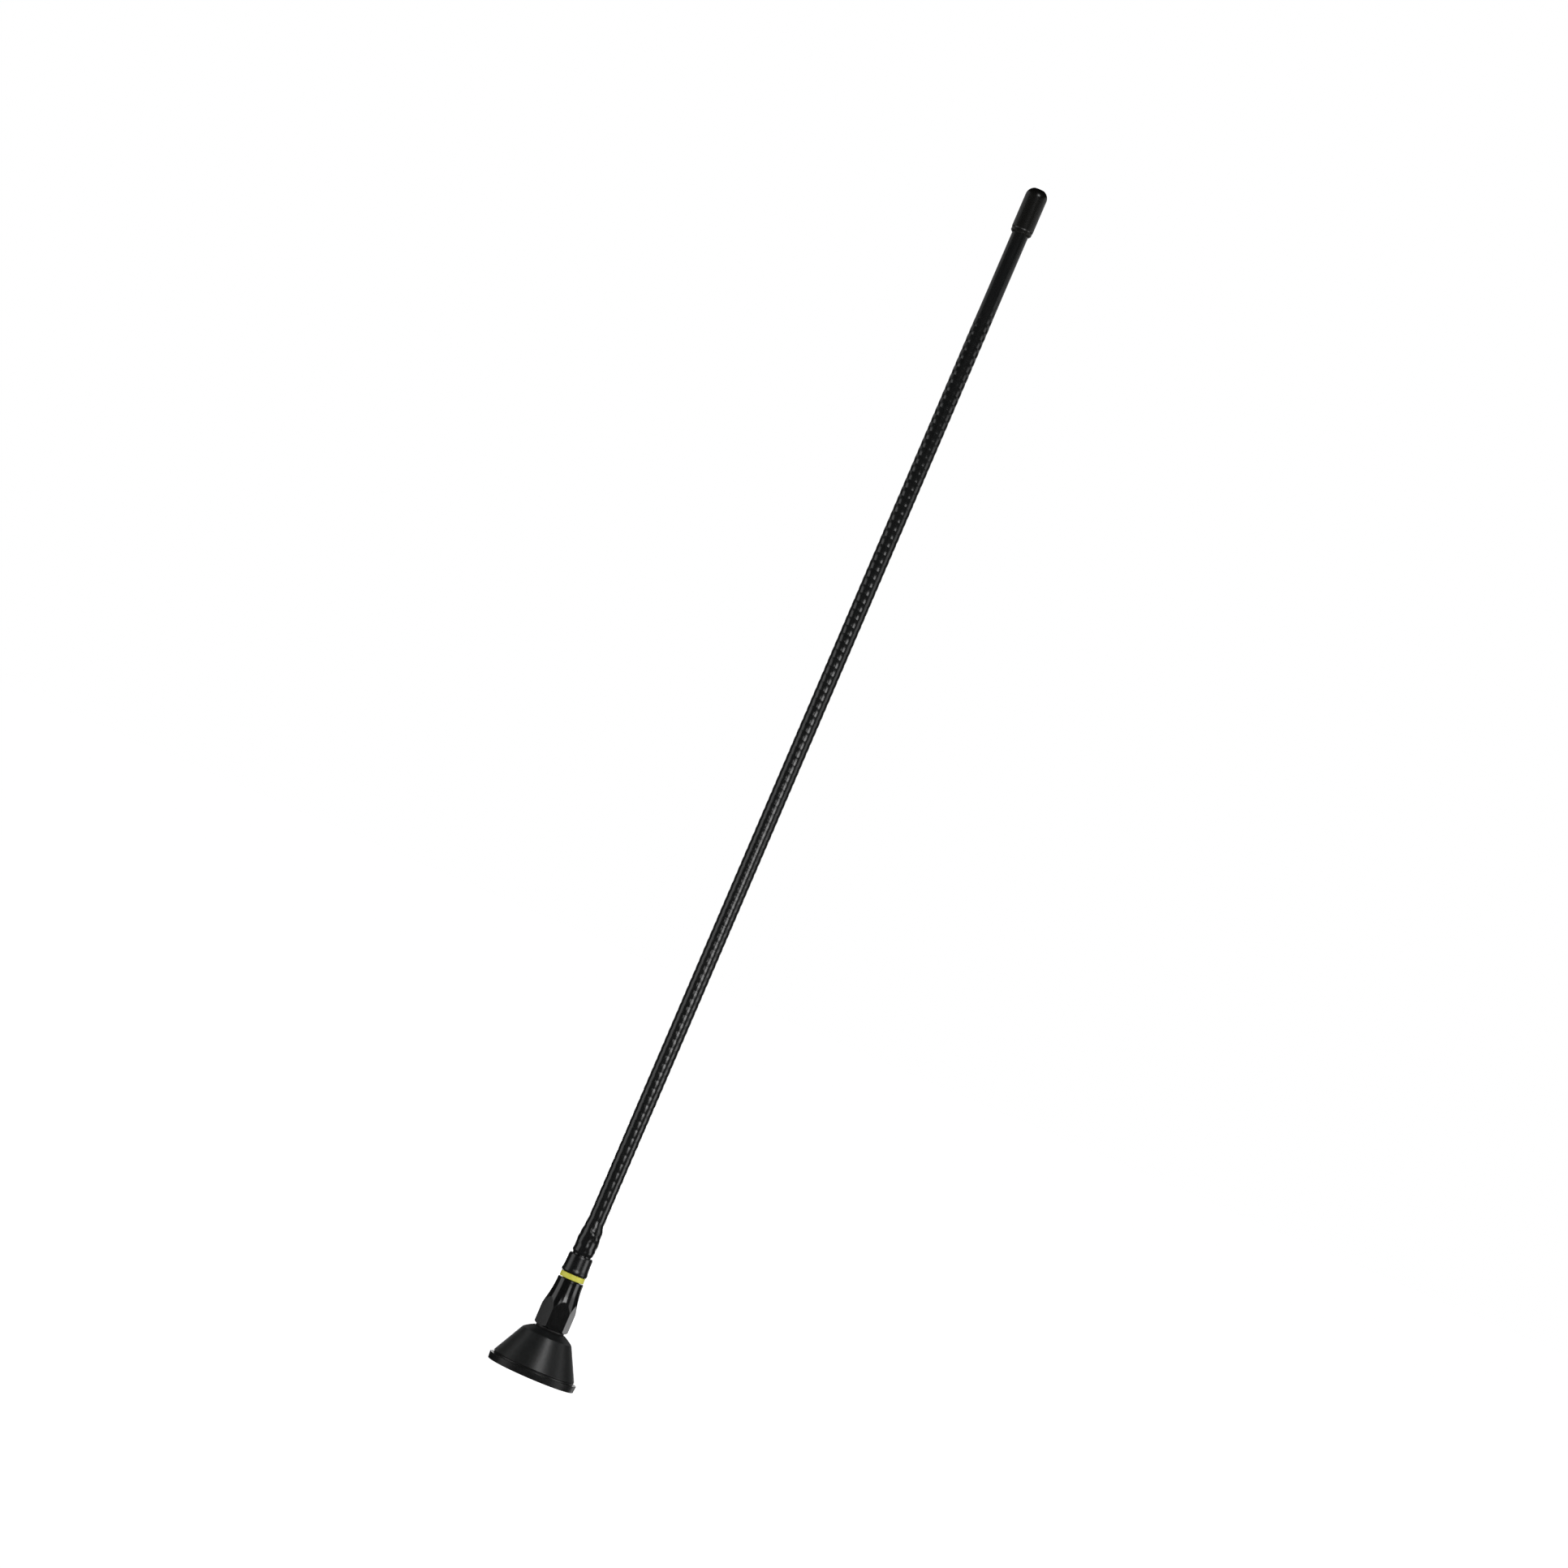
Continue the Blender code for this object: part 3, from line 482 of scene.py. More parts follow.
class Winding:
    """Where the wire's turns lie under the sleeve: the pitch is wide at the foot and settles."""

    def __init__(self, sleeve):
        self.foot = top_of("ferrule") + sleeve.foot_rise
        self.top = top_of("wire_winding")
        self.pitch = sleeve.pitch
        self.turns = sleeve.foot_turns
        self.stretch = (sleeve.foot_pitch - sleeve.pitch) * sleeve.foot_turns

    def turns_at(self, height):
        """Turns wound from the foot up to a height, found by a few steps of Newton's rule.

        Below the foot they count the folds of the tube, which lie a little further apart.
        """
        if height < self.foot:
            fold_pitch = 1.1 * self.pitch
            return (height - self.foot) / fold_pitch
        turns = (height - self.foot) / self.pitch
        for _ in range(6):
            settled = math.exp(-turns / self.turns)
            reached = self.foot + self.pitch * turns + self.stretch * (1 - settled)
            rate = self.pitch + self.stretch * settled / self.turns
            turns -= (reached - height) / rate
        return turns

    def share_at(self, height):
        """How strongly the wire shows: it fades down over the spigot and out at the top."""
        from_foot = 0.85 + (height - self.foot) / (6 * self.pitch)
        from_top = (self.top - height) / (3 * self.pitch)
        return max(0.0, min(1.0, from_foot, from_top))


def smooth_step(value, start, end):
    """From 0 at start to 1 at end, level at both."""
    share = max(0.0, min(1.0, (value - start) / (end - start)))
    return share * share * (3 - 2 * share)


def hump(value, centre, width):
    """A soft hump of height 1."""
    return math.exp(-(((value - centre) / width) ** 2))


class Sleeve:
    """The outside of the shrink tube, as a radius at each angle and height."""

    FOOT_INSET = 1.85 * MM  # how far the tube's foot lies inside the collar's lip
    LUMP_HEIGHT = 0.16 * MM
    LEAD_HEIGHT = 0.3 * MM
    RIDGE_POWER = 1.8  # how full a turn's ridge is: 1 is sharp, 2 is round

    def __init__(self, sleeve):
        self.sleeve = sleeve
        self.winding = Winding(sleeve)
        self.collar_line = top_of("ferrule_collar")
        self.spigot_top = top_of("ferrule")
        self.foot_radius = radius_of("ferrule_collar") - self.FOOT_INSET

    def swell(self, angle, height):
        """How far the tube swells over the spigot, ending more abruptly on the +X side."""
        side = max(0.0, math.cos(angle))
        rise = smooth_step(height, self.collar_line - 0.4 * MM, self.collar_line + 2.2 * MM)
        start = self.spigot_top + (-1.5 + 4.5 * side) * MM
        end = self.spigot_top + (11 - 2 * side) * MM
        return rise * (1 - smooth_step(height, start, end))

    def lead(self, angle, height):
        """The ridge over the wire's lead, half a steep turn round the front and down the side."""
        foot = self.spigot_top - 1.2 * MM
        share = (angle % (2 * math.pi) - math.pi) / math.pi
        ridge = 0.0
        if share >= 0:
            line = self.winding.foot + (foot - self.winding.foot) * share
            across = (height - line) * 0.75
            ridge = hump(across, 0.0, 1.1 * MM)
        side = math.atan2(math.sin(angle), math.cos(angle)) * self.sleeve.bulge_radius
        tail = hump(side, 0.0, 1.0 * MM) * smooth_step(height, foot - 5.5 * MM, foot - 3 * MM)
        tail *= 1 - smooth_step(height, foot - 0.5 * MM, foot + 1.5 * MM)
        bead = hump(side, 0.0, 1.3 * MM) * hump(height, foot - 5 * MM, 1.2 * MM)
        return max(ridge, tail, bead)

    def lumps(self, angle, height):
        """Folds and lumps that the shrinking left over the spigot."""
        along = (height - self.collar_line) / MM
        return (
            0.5 * math.sin(along * 0.9 + 2 * angle)
            + 0.3 * math.sin(along * 1.7 - 3 * angle + 1.0)
            + 0.2 * math.sin(5 * angle - along * 0.6)
        )

    def radius(self, angle, height):
        """Radius of the tube's outside."""
        sleeve = self.sleeve
        swell = self.swell(angle, height)
        full = sleeve.valley_radius + (sleeve.bulge_radius - sleeve.valley_radius) * swell
        near = self.winding.turns_at(height) - (math.pi - angle) / (2 * math.pi)
        ridge = 1 - (2 * abs(near - round(near))) ** self.RIDGE_POWER
        full += sleeve.ridge * ridge * self.winding.share_at(height)
        full += self.LUMP_HEIGHT * swell * self.lumps(angle, height)
        full += self.LEAD_HEIGHT * self.lead(angle, height) * (0.35 + 0.65 * swell)
        tuck = smooth_step(height, self.collar_line - 1 * MM, self.collar_line + 1.6 * MM)
        return self.foot_radius + (full - self.foot_radius) * tuck


class ANTENNA_OT_sleeve(bpy.types.Operator):
    """Build the shrink tube with the winding showing through it"""

    bl_idname = "antenna.sleeve"
    bl_label = "Shrink Tube"

    COVERED = 1.5 * MM  # how far the shaped wall runs down inside the collar
    CUTS = 38  # in each of two rounds, for a ring of corners every 0.4 mm

    def execute(self, context):
        sleeve = settings("antenna_sleeve")
        shape = Sleeve(sleeve)
        foot = shape.collar_line - self.COVERED
        top = top_of("heat_shrink_sleeve")
        bpy.ops.object.select_all(action="DESELECT")
        bpy.ops.mesh.primitive_cylinder_add(
            vertices=sleeve.sides,
            radius=sleeve.valley_radius,
            depth=top - foot,
            end_fill_type="NOTHING",
            location=(0, 0, (top + foot) / 2),
        )
        piece = context.active_object
        piece.name = "shrink_tube_sleeve"
        place_at_origin(piece)
        bpy.ops.object.mode_set(mode="EDIT")
        for _ in range(2):
            select_edges(piece, lambda start, end: abs(end.z - start.z) > SAME)
            bpy.ops.mesh.subdivide(number_cuts=self.CUTS)
        bpy.ops.object.mode_set(mode="OBJECT")
        for vertex in piece.data.vertices:
            x, y, z = vertex.co
            angle = math.atan2(y, x)
            reach = shape.radius(angle, z)
            vertex.co = (reach * math.cos(angle), reach * math.sin(angle), z)
        self.line_the_bore(piece, shape, foot, top)
        bpy.ops.object.shade_smooth_by_angle(angle=math.radians(50))
        finish_piece(piece, shrink_tube_finish(), "shrink_tube", "heat_shrink_sleeve")
        return {"FINISHED"}

    def line_the_bore(self, piece, shape, foot, top):
        """Extrude the tube's foot down inside the collar, then up the bore to the top."""
        sleeve = shape.sleeve
        node_foot = foot_of("heat_shrink_sleeve")
        bore = sleeve.valley_radius - sleeve.wall
        foot_wall = 0.45 * MM
        foot_bore = shape.foot_radius - foot_wall
        bpy.ops.object.mode_set(mode="EDIT")
        select_edges(piece, lambda start, end: max(start.z, end.z) < foot + SAME)
        outline = [
            (shape.foot_radius, node_foot),
            (foot_bore, node_foot),
            (foot_bore, shape.collar_line + 1 * MM),
            (bore + 1 * MM, shape.spigot_top - 1 * MM),
            (bore, shape.winding.foot + 2 * MM),
            (bore, top),
            (sleeve.valley_radius, top),
        ]
        extrude_rings(outline, (shape.foot_radius, foot), region=False)
        tidy_shell()


class ANTENNA_OT_cap(bpy.types.Operator):
    """Build the soft cap on the tip"""

    bl_idname = "antenna.cap"
    bl_label = "Tip Cap"

    def execute(self, context):
        cap = settings("antenna_cap")
        radius = radius_of("tip_cap")
        foot, top = foot_of("tip_cap"), top_of("tip_cap")
        bore = radius - cap.wall
        rim_radius = radius - cap.rim_step
        rim_inset = 0.8 * cap.rim
        rim_slope = 2.5 * cap.rim_step
        bore_corner = 0.5 * MM
        crown_edge = 0.3 * MM
        inner_top = top_of("fibreglass_rod") + GAP
        corner = (radius - cap.dome, top - cap.dome * math.sin(cap.dome_end))
        dome = arc(corner, (cap.dome, cap.dome), 0, math.degrees(cap.dome_end), 12)
        outline = [
            (cap.wall, inner_top),
            (bore - bore_corner, inner_top),
            (bore, inner_top - bore_corner),
            (bore, foot),
            (rim_radius - rim_inset, foot),
            (rim_radius, foot + cap.rim),
            (rim_radius, foot + cap.rim_line - rim_slope),
            (radius, foot + cap.rim_line),
            *dome,
            (dome[-1][0] - crown_edge, top),
        ]
        piece = turned_solid("tip_cap_cover", outline, 64)
        soften(piece, 0.05 * MM, angle=18)
        surface = plain_finish(
            "black_vinyl", cap.colour, cap.roughness, 1500.0, 0.002 * MM, variation=0.1
        )
        finish_piece(piece, surface, "black_vinyl", "tip_cap")
        return {"FINISHED"}


class ANTENNA_OT_collar(bpy.types.Operator):
    """Build the collar and the coloured band"""

    bl_idname = "antenna.collar"
    bl_label = "Collar and Band"

    def execute(self, context):
        collar = settings("antenna_collar")
        self.build_collar(collar)
        self.build_band(collar)
        return {"FINISHED"}

    def build_collar(self, collar):
        """The conical collar: rounded shoulder, slight taper and a lip that tucks in below."""
        lip_radius = radius_of("ferrule_collar")
        foot, top = foot_of("ferrule_collar"), top_of("ferrule_collar")
        lip_wall = 1.55 * MM
        bore = lip_radius - lip_wall
        waist = lip_radius - collar.taper
        corner = waist - bore - collar.top_wall
        steps = 8
        lip_middle = (lip_radius - collar.undercut, foot + collar.lip)
        lip = arc(lip_middle, (collar.undercut, collar.lip), -90, 0, steps)
        flare = [
            (
                lip_radius - collar.sweep * smooth_step(step, 0, steps),
                foot + collar.lip + collar.flare * step / steps,
            )
            for step in range(1, steps + 1)
        ]
        shoulder_middle = (bore + collar.top_wall, top - collar.shoulder)
        shoulder = arc(shoulder_middle, (corner, collar.shoulder), 0, 90, steps)
        outline = [(bore, foot), *lip, *flare, *shoulder, (bore, top)]
        piece = turned("collar", outline, 96)
        soften(piece, 0.1 * MM, angle=30)
        surface = plating_finish("satin_plating", collar.roughness)
        finish_piece(piece, surface, "black_plating", "ferrule_collar")

    def build_band(self, collar):
        """The coloured ring trapped under the collar."""
        radius = radius_of("band_ring")
        foot, top = foot_of("band_ring") + collar.band_lift, top_of("band_ring")
        wall = 2.0 * MM
        piece = turned("colour_band", washer(radius - wall, radius, foot, top), 96)
        soften(piece, 0.25 * MM, angle=30, segments=4)
        surface = plain_finish(
            "yellow_plastic", collar.band_colour, 0.35, 1200.0, 0.004 * MM, variation=0.06
        )
        finish_piece(piece, surface, "yellow_plastic", "band_ring")


class ANTENNA_OT_ferrule(bpy.types.Operator):
    """Build the ferrule: turned flare and spigot on a hexagon"""

    bl_idname = "antenna.ferrule"
    bl_label = "Hexagon Ferrule"

    def execute(self, context):
        ferrule = settings("antenna_ferrule")
        piece = turned_solid("hexagon_ferrule", self.outline(ferrule), 96)
        self.cut_flats(piece, ferrule)
        soften(piece, ferrule.edge, angle=9, segments=3)
        surface = plating_finish("black_plating", ferrule.roughness)
        finish_piece(piece, surface, "black_plating", "ferrule")
        return {"FINISHED"}

    def outline(self, ferrule):
        """From the stud bore's end, down and round the outside, to the rod bore's floor."""
        foot, top = foot_of("ferrule"), top_of("ferrule")
        stud_bore, rod_bore = 3.3 * MM, 2.7 * MM
        stud_end = top_of("contact_stud") + 0.8 * MM
        rod_floor = foot_of("fibreglass_rod") - GAP
        blank = ferrule.flats / 2 / math.cos(math.pi / 6) + 0.1 * MM
        foot_radius = ferrule.flats / 2 + 0.05 * MM
        shoulder = foot + ferrule.shoulder_height
        neck_edge = 0.35 * MM
        spigot, land = 4.5 * MM, 4.1 * MM
        land_foot = top_of("ferrule_collar") + GAP
        tip_height, tip_wall = 2.5 * MM, 0.4 * MM
        drop = math.sqrt(2 * ferrule.flare_radius * (blank - ferrule.neck_radius))
        steps = 24
        flare = []
        for step in range(steps, -1, -1):
            down = drop * step / steps
            radius = ferrule.neck_radius + down * down / (2 * ferrule.flare_radius)
            flare.append((radius, shoulder - neck_edge - down))
        return [
            (stud_bore, stud_end),
            (stud_bore, foot),
            (foot_radius, foot),
            (blank, foot + ferrule.chamfer),
            *flare,
            (ferrule.neck_radius - neck_edge, shoulder),
            (spigot, shoulder),
            (spigot, land_foot),
            (land, land_foot),
            (land, top - tip_height),
            (rod_bore + tip_wall, top),
            (rod_bore, top),
            (rod_bore, rod_floor),
        ]

    def cut_flats(self, piece, ferrule):
        """Cut the six flats, the front one turned a little towards +X."""
        bpy.ops.object.mode_set(mode="EDIT")
        for side in range(6):
            angle = -math.pi / 2 + ferrule.turn + side * math.pi / 3
            outward = Vector((math.cos(angle), math.sin(angle), 0.0))
            bpy.ops.mesh.select_all(action="SELECT")
            bpy.ops.mesh.bisect(
                plane_co=outward * ferrule.flats / 2,
                plane_no=outward,
                use_fill=True,
                clear_outer=True,
                threshold=0.001 * MM,
            )
        tidy_shell()


class ANTENNA_OT_base(bpy.types.Operator):
    """Build the moulded cone, its rubber rim and the seal washer"""

    bl_idname = "antenna.base"
    bl_label = "Base"

    def execute(self, context):
        base = settings("antenna_base")
        self.build_rim(base)
        self.build_cone(base)
        self.build_seal()
        return {"FINISHED"}

    def build_rim(self, base):
        """The rubber rim: a flat ledge outside the cone and a side that tapers in below."""
        radius = radius_of("base_gasket")
        top = top_of("base_gasket") + base.rim_lift
        cone_foot = radius - base.ledge
        web = foot_of("base_housing") - GAP
        ledge_inner = cone_foot - base.foot_step + GAP
        bore = radius_of("mounting_ring") + 2 * GAP
        edge = 0.15 * MM
        outline = [
            (bore, 0.0),
            (radius - base.foot_inset, 0.0),
            *arc((radius - edge, top - edge), (edge, edge), -30, 90, 6),
            (ledge_inner, top),
            (ledge_inner, web),
            (bore, web),
        ]
        piece = turned("rubber_rim", outline, 128)
        soften(piece, 0.12 * MM, angle=40)
        surface = plain_finish("gasket_rubber", base.rubber, 0.3, 1400.0, 0.003 * MM)
        finish_piece(piece, surface, "gasket_rubber", "base_gasket")

    def build_cone(self, base):
        """The moulded cone: flat land, convex shoulder, straight side and stepped foot."""
        top = top_of("base_housing")
        foot = foot_of("base_housing")
        cone_foot = radius_of("base_gasket") - base.ledge
        land = settings("antenna_ferrule").flats / 2 + 0.4 * MM
        well = radius_of("contact_stud") + GAP
        well_depth = 2.6 * MM
        seat = foot_of("seal_washer") - GAP - well_depth
        ring = radius_of("mounting_ring") + GAP
        ring_top = top_of("mounting_ring") + GAP
        boss_foot = top_of("solder_tag") + GAP
        boss, stud_hole = 6.2 * MM, 3.3 * MM
        cavity_top = boss_foot + 0.9 * MM
        cavity_foot = cone_foot * 0.61
        shoulder = (base.shoulder_radius, top - base.shoulder_drop)
        bend = []
        for step in range(1, 10):
            share = step / 10
            lift = 4 * share * (1 - share) * base.bend
            radius = land + (shoulder[0] - land) * share + lift
            bend.append((radius, top + (shoulder[1] - top) * share + lift))
        outline = [
            (well, seat),
            (well, top),
            (land, top),
            *bend,
            shoulder,
            (cone_foot, foot + base.foot_rise),
            (cone_foot - base.foot_step, foot + base.foot_rise - base.foot_step),
            (cone_foot - base.foot_step, foot),
            (ring, foot),
            (ring, ring_top),
            (cavity_foot, ring_top),
            (base.shoulder_radius - base.wall, cavity_top),
            (boss, cavity_top),
            (boss, boss_foot),
            (stud_hole, boss_foot),
            (stud_hole, seat),
        ]
        piece = turned("moulded_cone", outline, 128)
        soften(piece, 0.16 * MM, angle=20, segments=3)
        surface = plain_finish("moulded_black", base.colour, base.roughness, 3200.0, 0.006 * MM)
        finish_piece(piece, surface, "moulded_black", "base_housing")

    def build_seal(self):
        """The thin washer in the recess between the hexagon and the cone."""
        bore, radius = radius_of("contact_stud") + GAP, radius_of("seal_washer")
        nip = 0.05 * MM
        foot, top = top_of("base_housing") + nip, foot_of("ferrule") - nip
        piece = turned("seal", washer(bore, radius, foot, top), 96)
        soften(piece, 0.1 * MM, angle=30)
        shade = (0.005, 0.005, 0.005)
        surface = plain_finish("seal_rubber", shade, 0.5, 1400.0, 0.004 * MM)
        finish_piece(piece, surface, "gasket_rubber", "seal_washer")


class ANTENNA_OT_mount(bpy.types.Operator):
    """Build the coaxial mount under the base and finish the metal inside"""

    bl_idname = "antenna.mount"
    bl_label = "Coaxial Mount"

    def execute(self, context):
        mount = settings("antenna_mount")
        brass = brass_finish("brass", mount.brass)
        self.build_ring(mount, brass)
        self.build_disc(mount)
        self.build_pin(brass)
        for node in ("contact_stud", "solder_tag"):
            dress(node, brass)
        steel = plain_finish(
            "zinc_steel", mount.steel, 0.3, 900.0, 0.004 * MM, variation=0.12, metallic=1.0
        )
        for node in ("stud_nut", "lock_washer", "lead_solder"):
            dress(node, steel)
        copper = plain_finish(
            "enamelled_copper", mount.copper, 0.25, 700.0, 0.003 * MM, variation=0.15, metallic=1.0
        )
        copper.node_tree.nodes["Principled BSDF"].inputs["Coat Weight"].default_value = 0.6
        for node in ("wire_winding", "feed_wire"):
            dress(node, copper)
        dress("fibreglass_rod", fibreglass_finish(mount.fibreglass))
        return {"FINISHED"}

    def build_ring(self, mount, brass):
        """The outer contact, with the thread cut in its bore."""
        radius = radius_of("mounting_ring")
        foot, top = foot_of("mounting_ring"), top_of("mounting_ring")
        ledge = foot_of("insulator_disc") - GAP
        disc = radius_of("insulator_disc") + GAP
        wall, mouth = 2.7 * MM, 0.6 * MM
        bore = radius - wall
        crest = foot + 0.8 * MM
        last_crest = ledge - 0.4 * MM
        thread = [(bore + mouth, foot)]
        while crest + mount.thread_pitch < last_crest:
            thread.append((bore, crest))
            thread.append((bore + mount.thread_depth, crest + mount.thread_pitch / 2))
            crest += mount.thread_pitch
        thread.append((bore, crest))
        inside = [(bore, ledge), (disc, ledge), (disc, top)]
        outline = [(radius, top), (radius, foot), *thread, *inside]
        piece = turned("threaded_ring", outline, 128)
        soften(piece, 0.06 * MM, angle=35, segments=2)
        finish_piece(piece, brass, "brass", "mounting_ring")

    def build_disc(self, mount):
        """The insulator, with a shallow recess round the contact and a flat rim."""
        radius = radius_of("insulator_disc")
        foot, top = foot_of("insulator_disc"), top_of("insulator_disc")
        hole, boss = 1.9 * MM, 4.2 * MM
        rim, depth, slope = 2.4 * MM, 0.25 * MM, 0.2 * MM
        outline = [
            (hole, foot),
            (boss, foot),
            (boss + slope, foot + depth),
            (radius - rim - slope, foot + depth),
            (radius - rim, foot),
            (radius, foot),
            (radius, top),
            (hole, top),
        ]
        piece = turned("insulator", outline, 96)
        soften(piece, 0.08 * MM, angle=30)
        surface = plain_finish(
            "natural_nylon", mount.nylon, 0.45, 900.0, 0.006 * MM, variation=0.05
        )
        finish_piece(piece, surface, "natural_nylon", "insulator_disc")

    def build_pin(self, brass):
        """The centre contact with its rounded head."""
        head = radius_of("contact_pin")
        foot, top = foot_of("contact_pin"), top_of("contact_pin")
        head_top = foot + 1.7 * MM
        flat, corner = 0.6 * MM, 1.2 * MM
        stem, stem_edge = 1.6 * MM, 0.3 * MM
        outline = [
            (flat, foot),
            *arc((head - corner, foot + corner), (corner, corner), -80, 0, 8),
            (head, head_top),
            (stem, head_top),
            (stem, top - stem_edge),
            (stem - stem_edge, top),
        ]
        piece = turned_solid("centre_contact", outline, 64)
        soften(piece, 0.06 * MM, angle=30)
        finish_piece(piece, brass, "brass", "contact_pin")


# Studio

LIT_POINT = Vector((0.0, 0.0, 0.2))

# Each light: name, azimuth, foot and head as distance and height, width, glow
LIGHTS = (
    ("front_strip", 18, (0.6, 0.05), (0.6, 0.2), 0.2, 2.6),
    ("front_panel", 20, (0.6, 0.2), (0.6, 0.31), 0.27, 6.5),
    ("front_head", 22, (0.6, 0.31), (0.6, 0.46), 0.25, 4.6),
    ("front_wing", -8, (0.6, 0.27), (0.6, 0.35), 0.16, 3.0),
    ("high_panel", 17, (1.2, 1.2), (1.05, 1.5), 0.4, 8.5),
    ("left_panel", -75, (1.1, -0.25), (1.1, 0.62), 0.7, 1.35),
    ("right_panel", 77, (1.1, -0.25), (1.1, 0.76), 0.66, 1.1),
    ("right_low", 75, (1.0, -0.15), (1.0, 0.2), 0.42, 1.5),
    ("back_panel", 146, (1.1, -0.2), (1.1, 0.04), 0.36, 0.9),
    ("rear_strip", 180, (1.1, 0.03), (1.1, 0.115), 0.6, 5.0),
    ("rear_left", -150, (1.1, 0.12), (1.1, 1.0), 0.55, 0.2),
    ("rear_right", 150, (1.1, 0.12), (1.1, 1.0), 0.55, 0.2),
    ("head_left", -112, (1.1, 0.68), (1.1, 1.2), 1.2, 0.42),
    ("head_right", 118, (1.1, 0.76), (1.1, 1.2), 1.2, 0.5),
)


def around(azimuth, distance, height):
    """A place round the antenna: azimuth in degrees from the viewer's side, towards +X."""
    angle = math.radians(azimuth)
    return Vector((distance * math.sin(angle), -distance * math.cos(angle), height))


def soft_light(name, azimuth, foot, head, width, glow):
    """A soft panel that the camera doesn't see, turned towards the lower whip.

    Its foot and head are each a distance and a height, and glow is its brightness.
    """
    foot, head = around(azimuth, *foot), around(azimuth, *head)
    middle = (foot + head) / 2
    bpy.ops.object.light_add(type="AREA", location=middle)
    panel = bpy.context.active_object
    panel.name = name
    along = (head - foot).normalized()
    across = along.cross(middle - LIT_POINT).normalized()
    axes = Matrix((across, along, across.cross(along))).transposed()
    panel.matrix_world = Matrix.Translation(middle) @ axes.to_4x4()
    lamp = panel.data
    lamp.shape = "RECTANGLE"
    lamp.size = width
    lamp.size_y = (head - foot).length
    lamp.energy = glow * math.pi * lamp.size * lamp.size_y
    panel.visible_camera = False


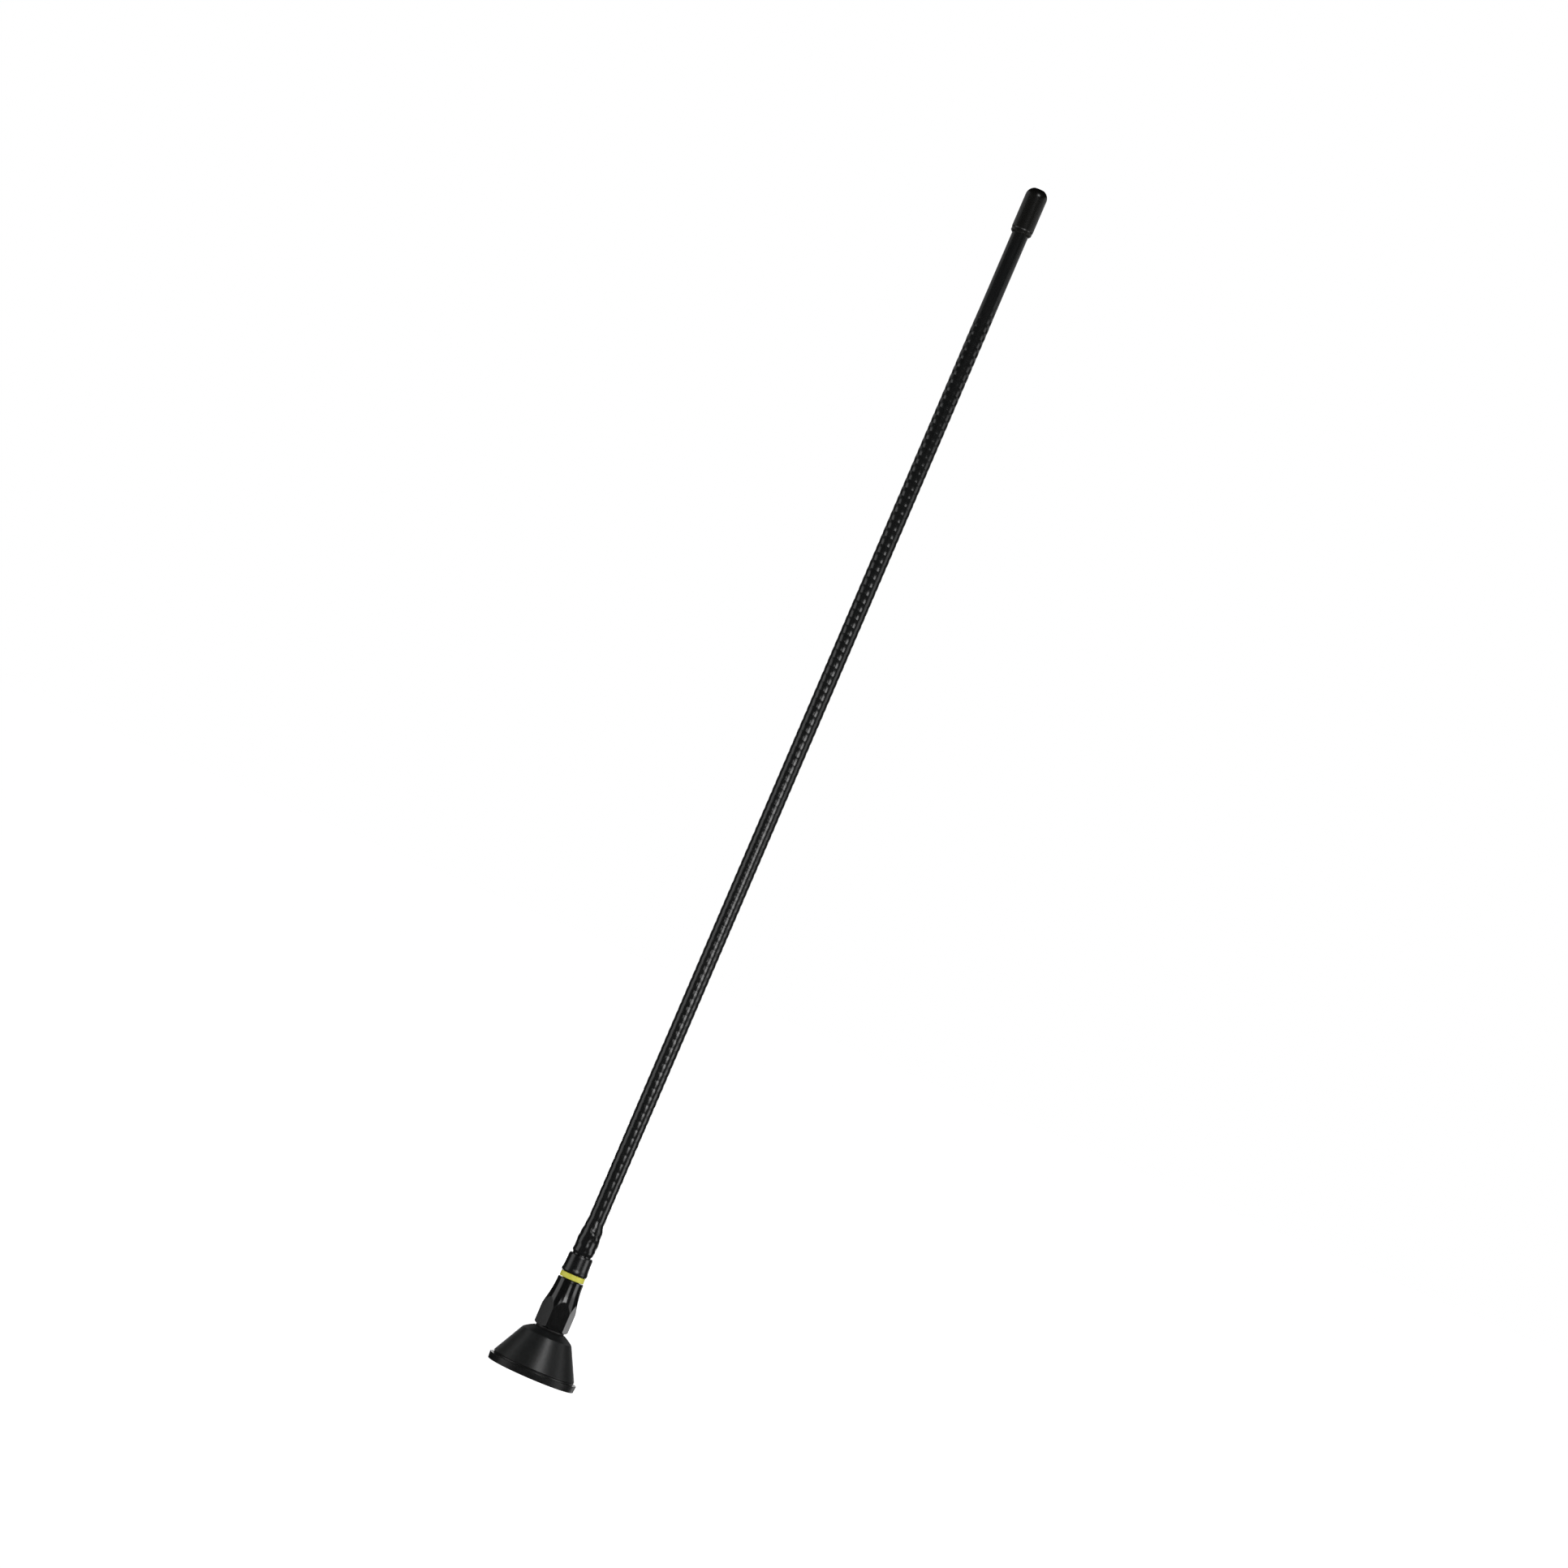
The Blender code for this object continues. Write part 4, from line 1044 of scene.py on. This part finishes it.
class ANTENNA_OT_studio(bpy.types.Operator):
    """Build the camera, the pale floor and the soft lights"""

    bl_idname = "antenna.studio"
    bl_label = "Studio"

    def execute(self, context):
        studio = settings("antenna_studio")
        self.build_camera(context, studio)
        self.build_floor(studio)
        self.build_surround(context, studio)
        self.build_lights()
        context.scene.view_settings.view_transform = "Standard"
        return {"FINISHED"}

    def build_camera(self, context, studio):
        """A long lens low in front of the antenna, rolled so that it leans to the right."""
        place = Vector((0.0, -studio.distance, studio.height))
        bpy.ops.object.camera_add(location=place)
        camera = context.active_object
        camera.name = "camera"
        line = Vector((studio.aim_side, 0.0, studio.aim_height)) - place
        camera.data.lens = camera.data.sensor_width * line.length / studio.view_width
        look = line.to_track_quat("-Z", "Y").to_matrix()
        roll = Matrix.Rotation(studio.lean, 3, "Z")
        camera.rotation_euler = (look @ roll).to_euler()
        camera.data.clip_end = 100.0
        context.scene.camera = camera

    def build_floor(self, studio):
        """A wide pale floor with a painted glow of its own, dimmer round the base, which polished
        surfaces don't mirror.
        """
        bpy.ops.mesh.primitive_plane_add(size=60.0, location=(0, 0, 0))
        floor = bpy.context.active_object
        floor.name = "floor"
        surface, tree, shader = new_finish("pale_floor")
        place = add(tree, "ShaderNodeTexCoord")
        far = tree.nodes.new("ShaderNodeVectorMath")
        far.operation = "LENGTH"
        tree.links.new(place.outputs["Object"], far.inputs[0])
        # painted glow: the floor shines a little less near the base and fully white far off
        glow = spread(tree, far.outputs["Value"], studio.floor_glow, 1.0, 0.05, 0.5)
        tree.links.new(glow, shader.inputs["Emission Strength"])
        shader.inputs["Emission Color"].default_value = (1.0, 1.0, 1.0, 1.0)
        shader.inputs["Base Color"].default_value = (*studio.floor, 1.0)
        shader.inputs["Roughness"].default_value = 0.9
        shader.inputs["Specular IOR Level"].default_value = 0.0
        floor.data.materials.append(surface)
        floor.visible_glossy = False
        floor.visible_shadow = False

    def build_surround(self, context, studio):
        """White to the camera, and to everything else a dim room, paler towards the ground."""
        world = bpy.data.worlds.new("studio")
        world.use_nodes = True
        context.scene.world = world
        tree = world.node_tree
        room = tree.nodes["Background"]
        white = add(tree, "ShaderNodeBackground", Color=(1, 1, 1, 1), Strength=1.0)
        direction = add(tree, "ShaderNodeTexCoord")
        parts = add(tree, "ShaderNodeSeparateXYZ")
        tree.links.new(direction.outputs["Generated"], parts.inputs["Vector"])
        dim = spread(tree, parts.outputs["Z"], studio.ground, studio.ambient, -0.4, -0.12)
        sight = add(tree, "ShaderNodeLightPath")
        choice = add(tree, "ShaderNodeMixShader")
        links = tree.links
        links.new(dim, room.inputs["Strength"])
        links.new(sight.outputs["Is Camera Ray"], choice.inputs["Fac"])
        links.new(room.outputs["Background"], choice.inputs[1])
        links.new(white.outputs["Background"], choice.inputs[2])
        links.new(choice.outputs["Shader"], tree.nodes["World Output"].inputs["Surface"])

    def build_lights(self):
        """Near panels in front, a tall one on each side, and others overhead and behind."""
        for light in LIGHTS:
            soft_light(*light)


# Panel and registration


class ANTENNA_PT_panel(bpy.types.Panel):
    """Lists the antenna's sizes and builders"""

    bl_idname = "ANTENNA_PT_panel"
    bl_label = "Antenna"
    bl_space_type = "VIEW_3D"
    bl_region_type = "UI"
    bl_category = "Antenna"

    def draw(self, context):
        for name, group, operators in SECTIONS:
            box = self.layout.box()
            for prop in group.__annotations__:
                box.prop(settings(name), prop)
            for operator in operators:
                box.operator(operator.bl_idname)


SECTIONS = (
    ("antenna_sleeve", SleeveSettings, (ANTENNA_OT_sleeve,)),
    ("antenna_cap", CapSettings, (ANTENNA_OT_cap,)),
    ("antenna_collar", CollarSettings, (ANTENNA_OT_collar,)),
    ("antenna_ferrule", FerruleSettings, (ANTENNA_OT_ferrule,)),
    ("antenna_base", BaseSettings, (ANTENNA_OT_base,)),
    ("antenna_mount", MountSettings, (ANTENNA_OT_mount,)),
    ("antenna_studio", StudioSettings, (ANTENNA_OT_studio,)),
)


def register():
    """Register the settings, the builders and the panel."""
    for name, group, operators in SECTIONS:
        bpy.utils.register_class(group)
        setattr(bpy.types.Scene, name, PointerProperty(type=group))
        for operator in operators:
            bpy.utils.register_class(operator)
    bpy.utils.register_class(ANTENNA_PT_panel)


def unregister():
    """Take everything back out."""
    bpy.utils.unregister_class(ANTENNA_PT_panel)
    for name, group, operators in reversed(SECTIONS):
        for operator in operators:
            bpy.utils.unregister_class(operator)
        delattr(bpy.types.Scene, name)
        bpy.utils.unregister_class(group)


def main():
    """Build the antenna and its studio."""
    register()
    bpy.ops.antenna.sleeve()
    bpy.ops.antenna.cap()
    bpy.ops.antenna.collar()
    bpy.ops.antenna.ferrule()
    bpy.ops.antenna.base()
    bpy.ops.antenna.mount()
    bpy.ops.antenna.studio()


if __name__ == "__main__":
    main()
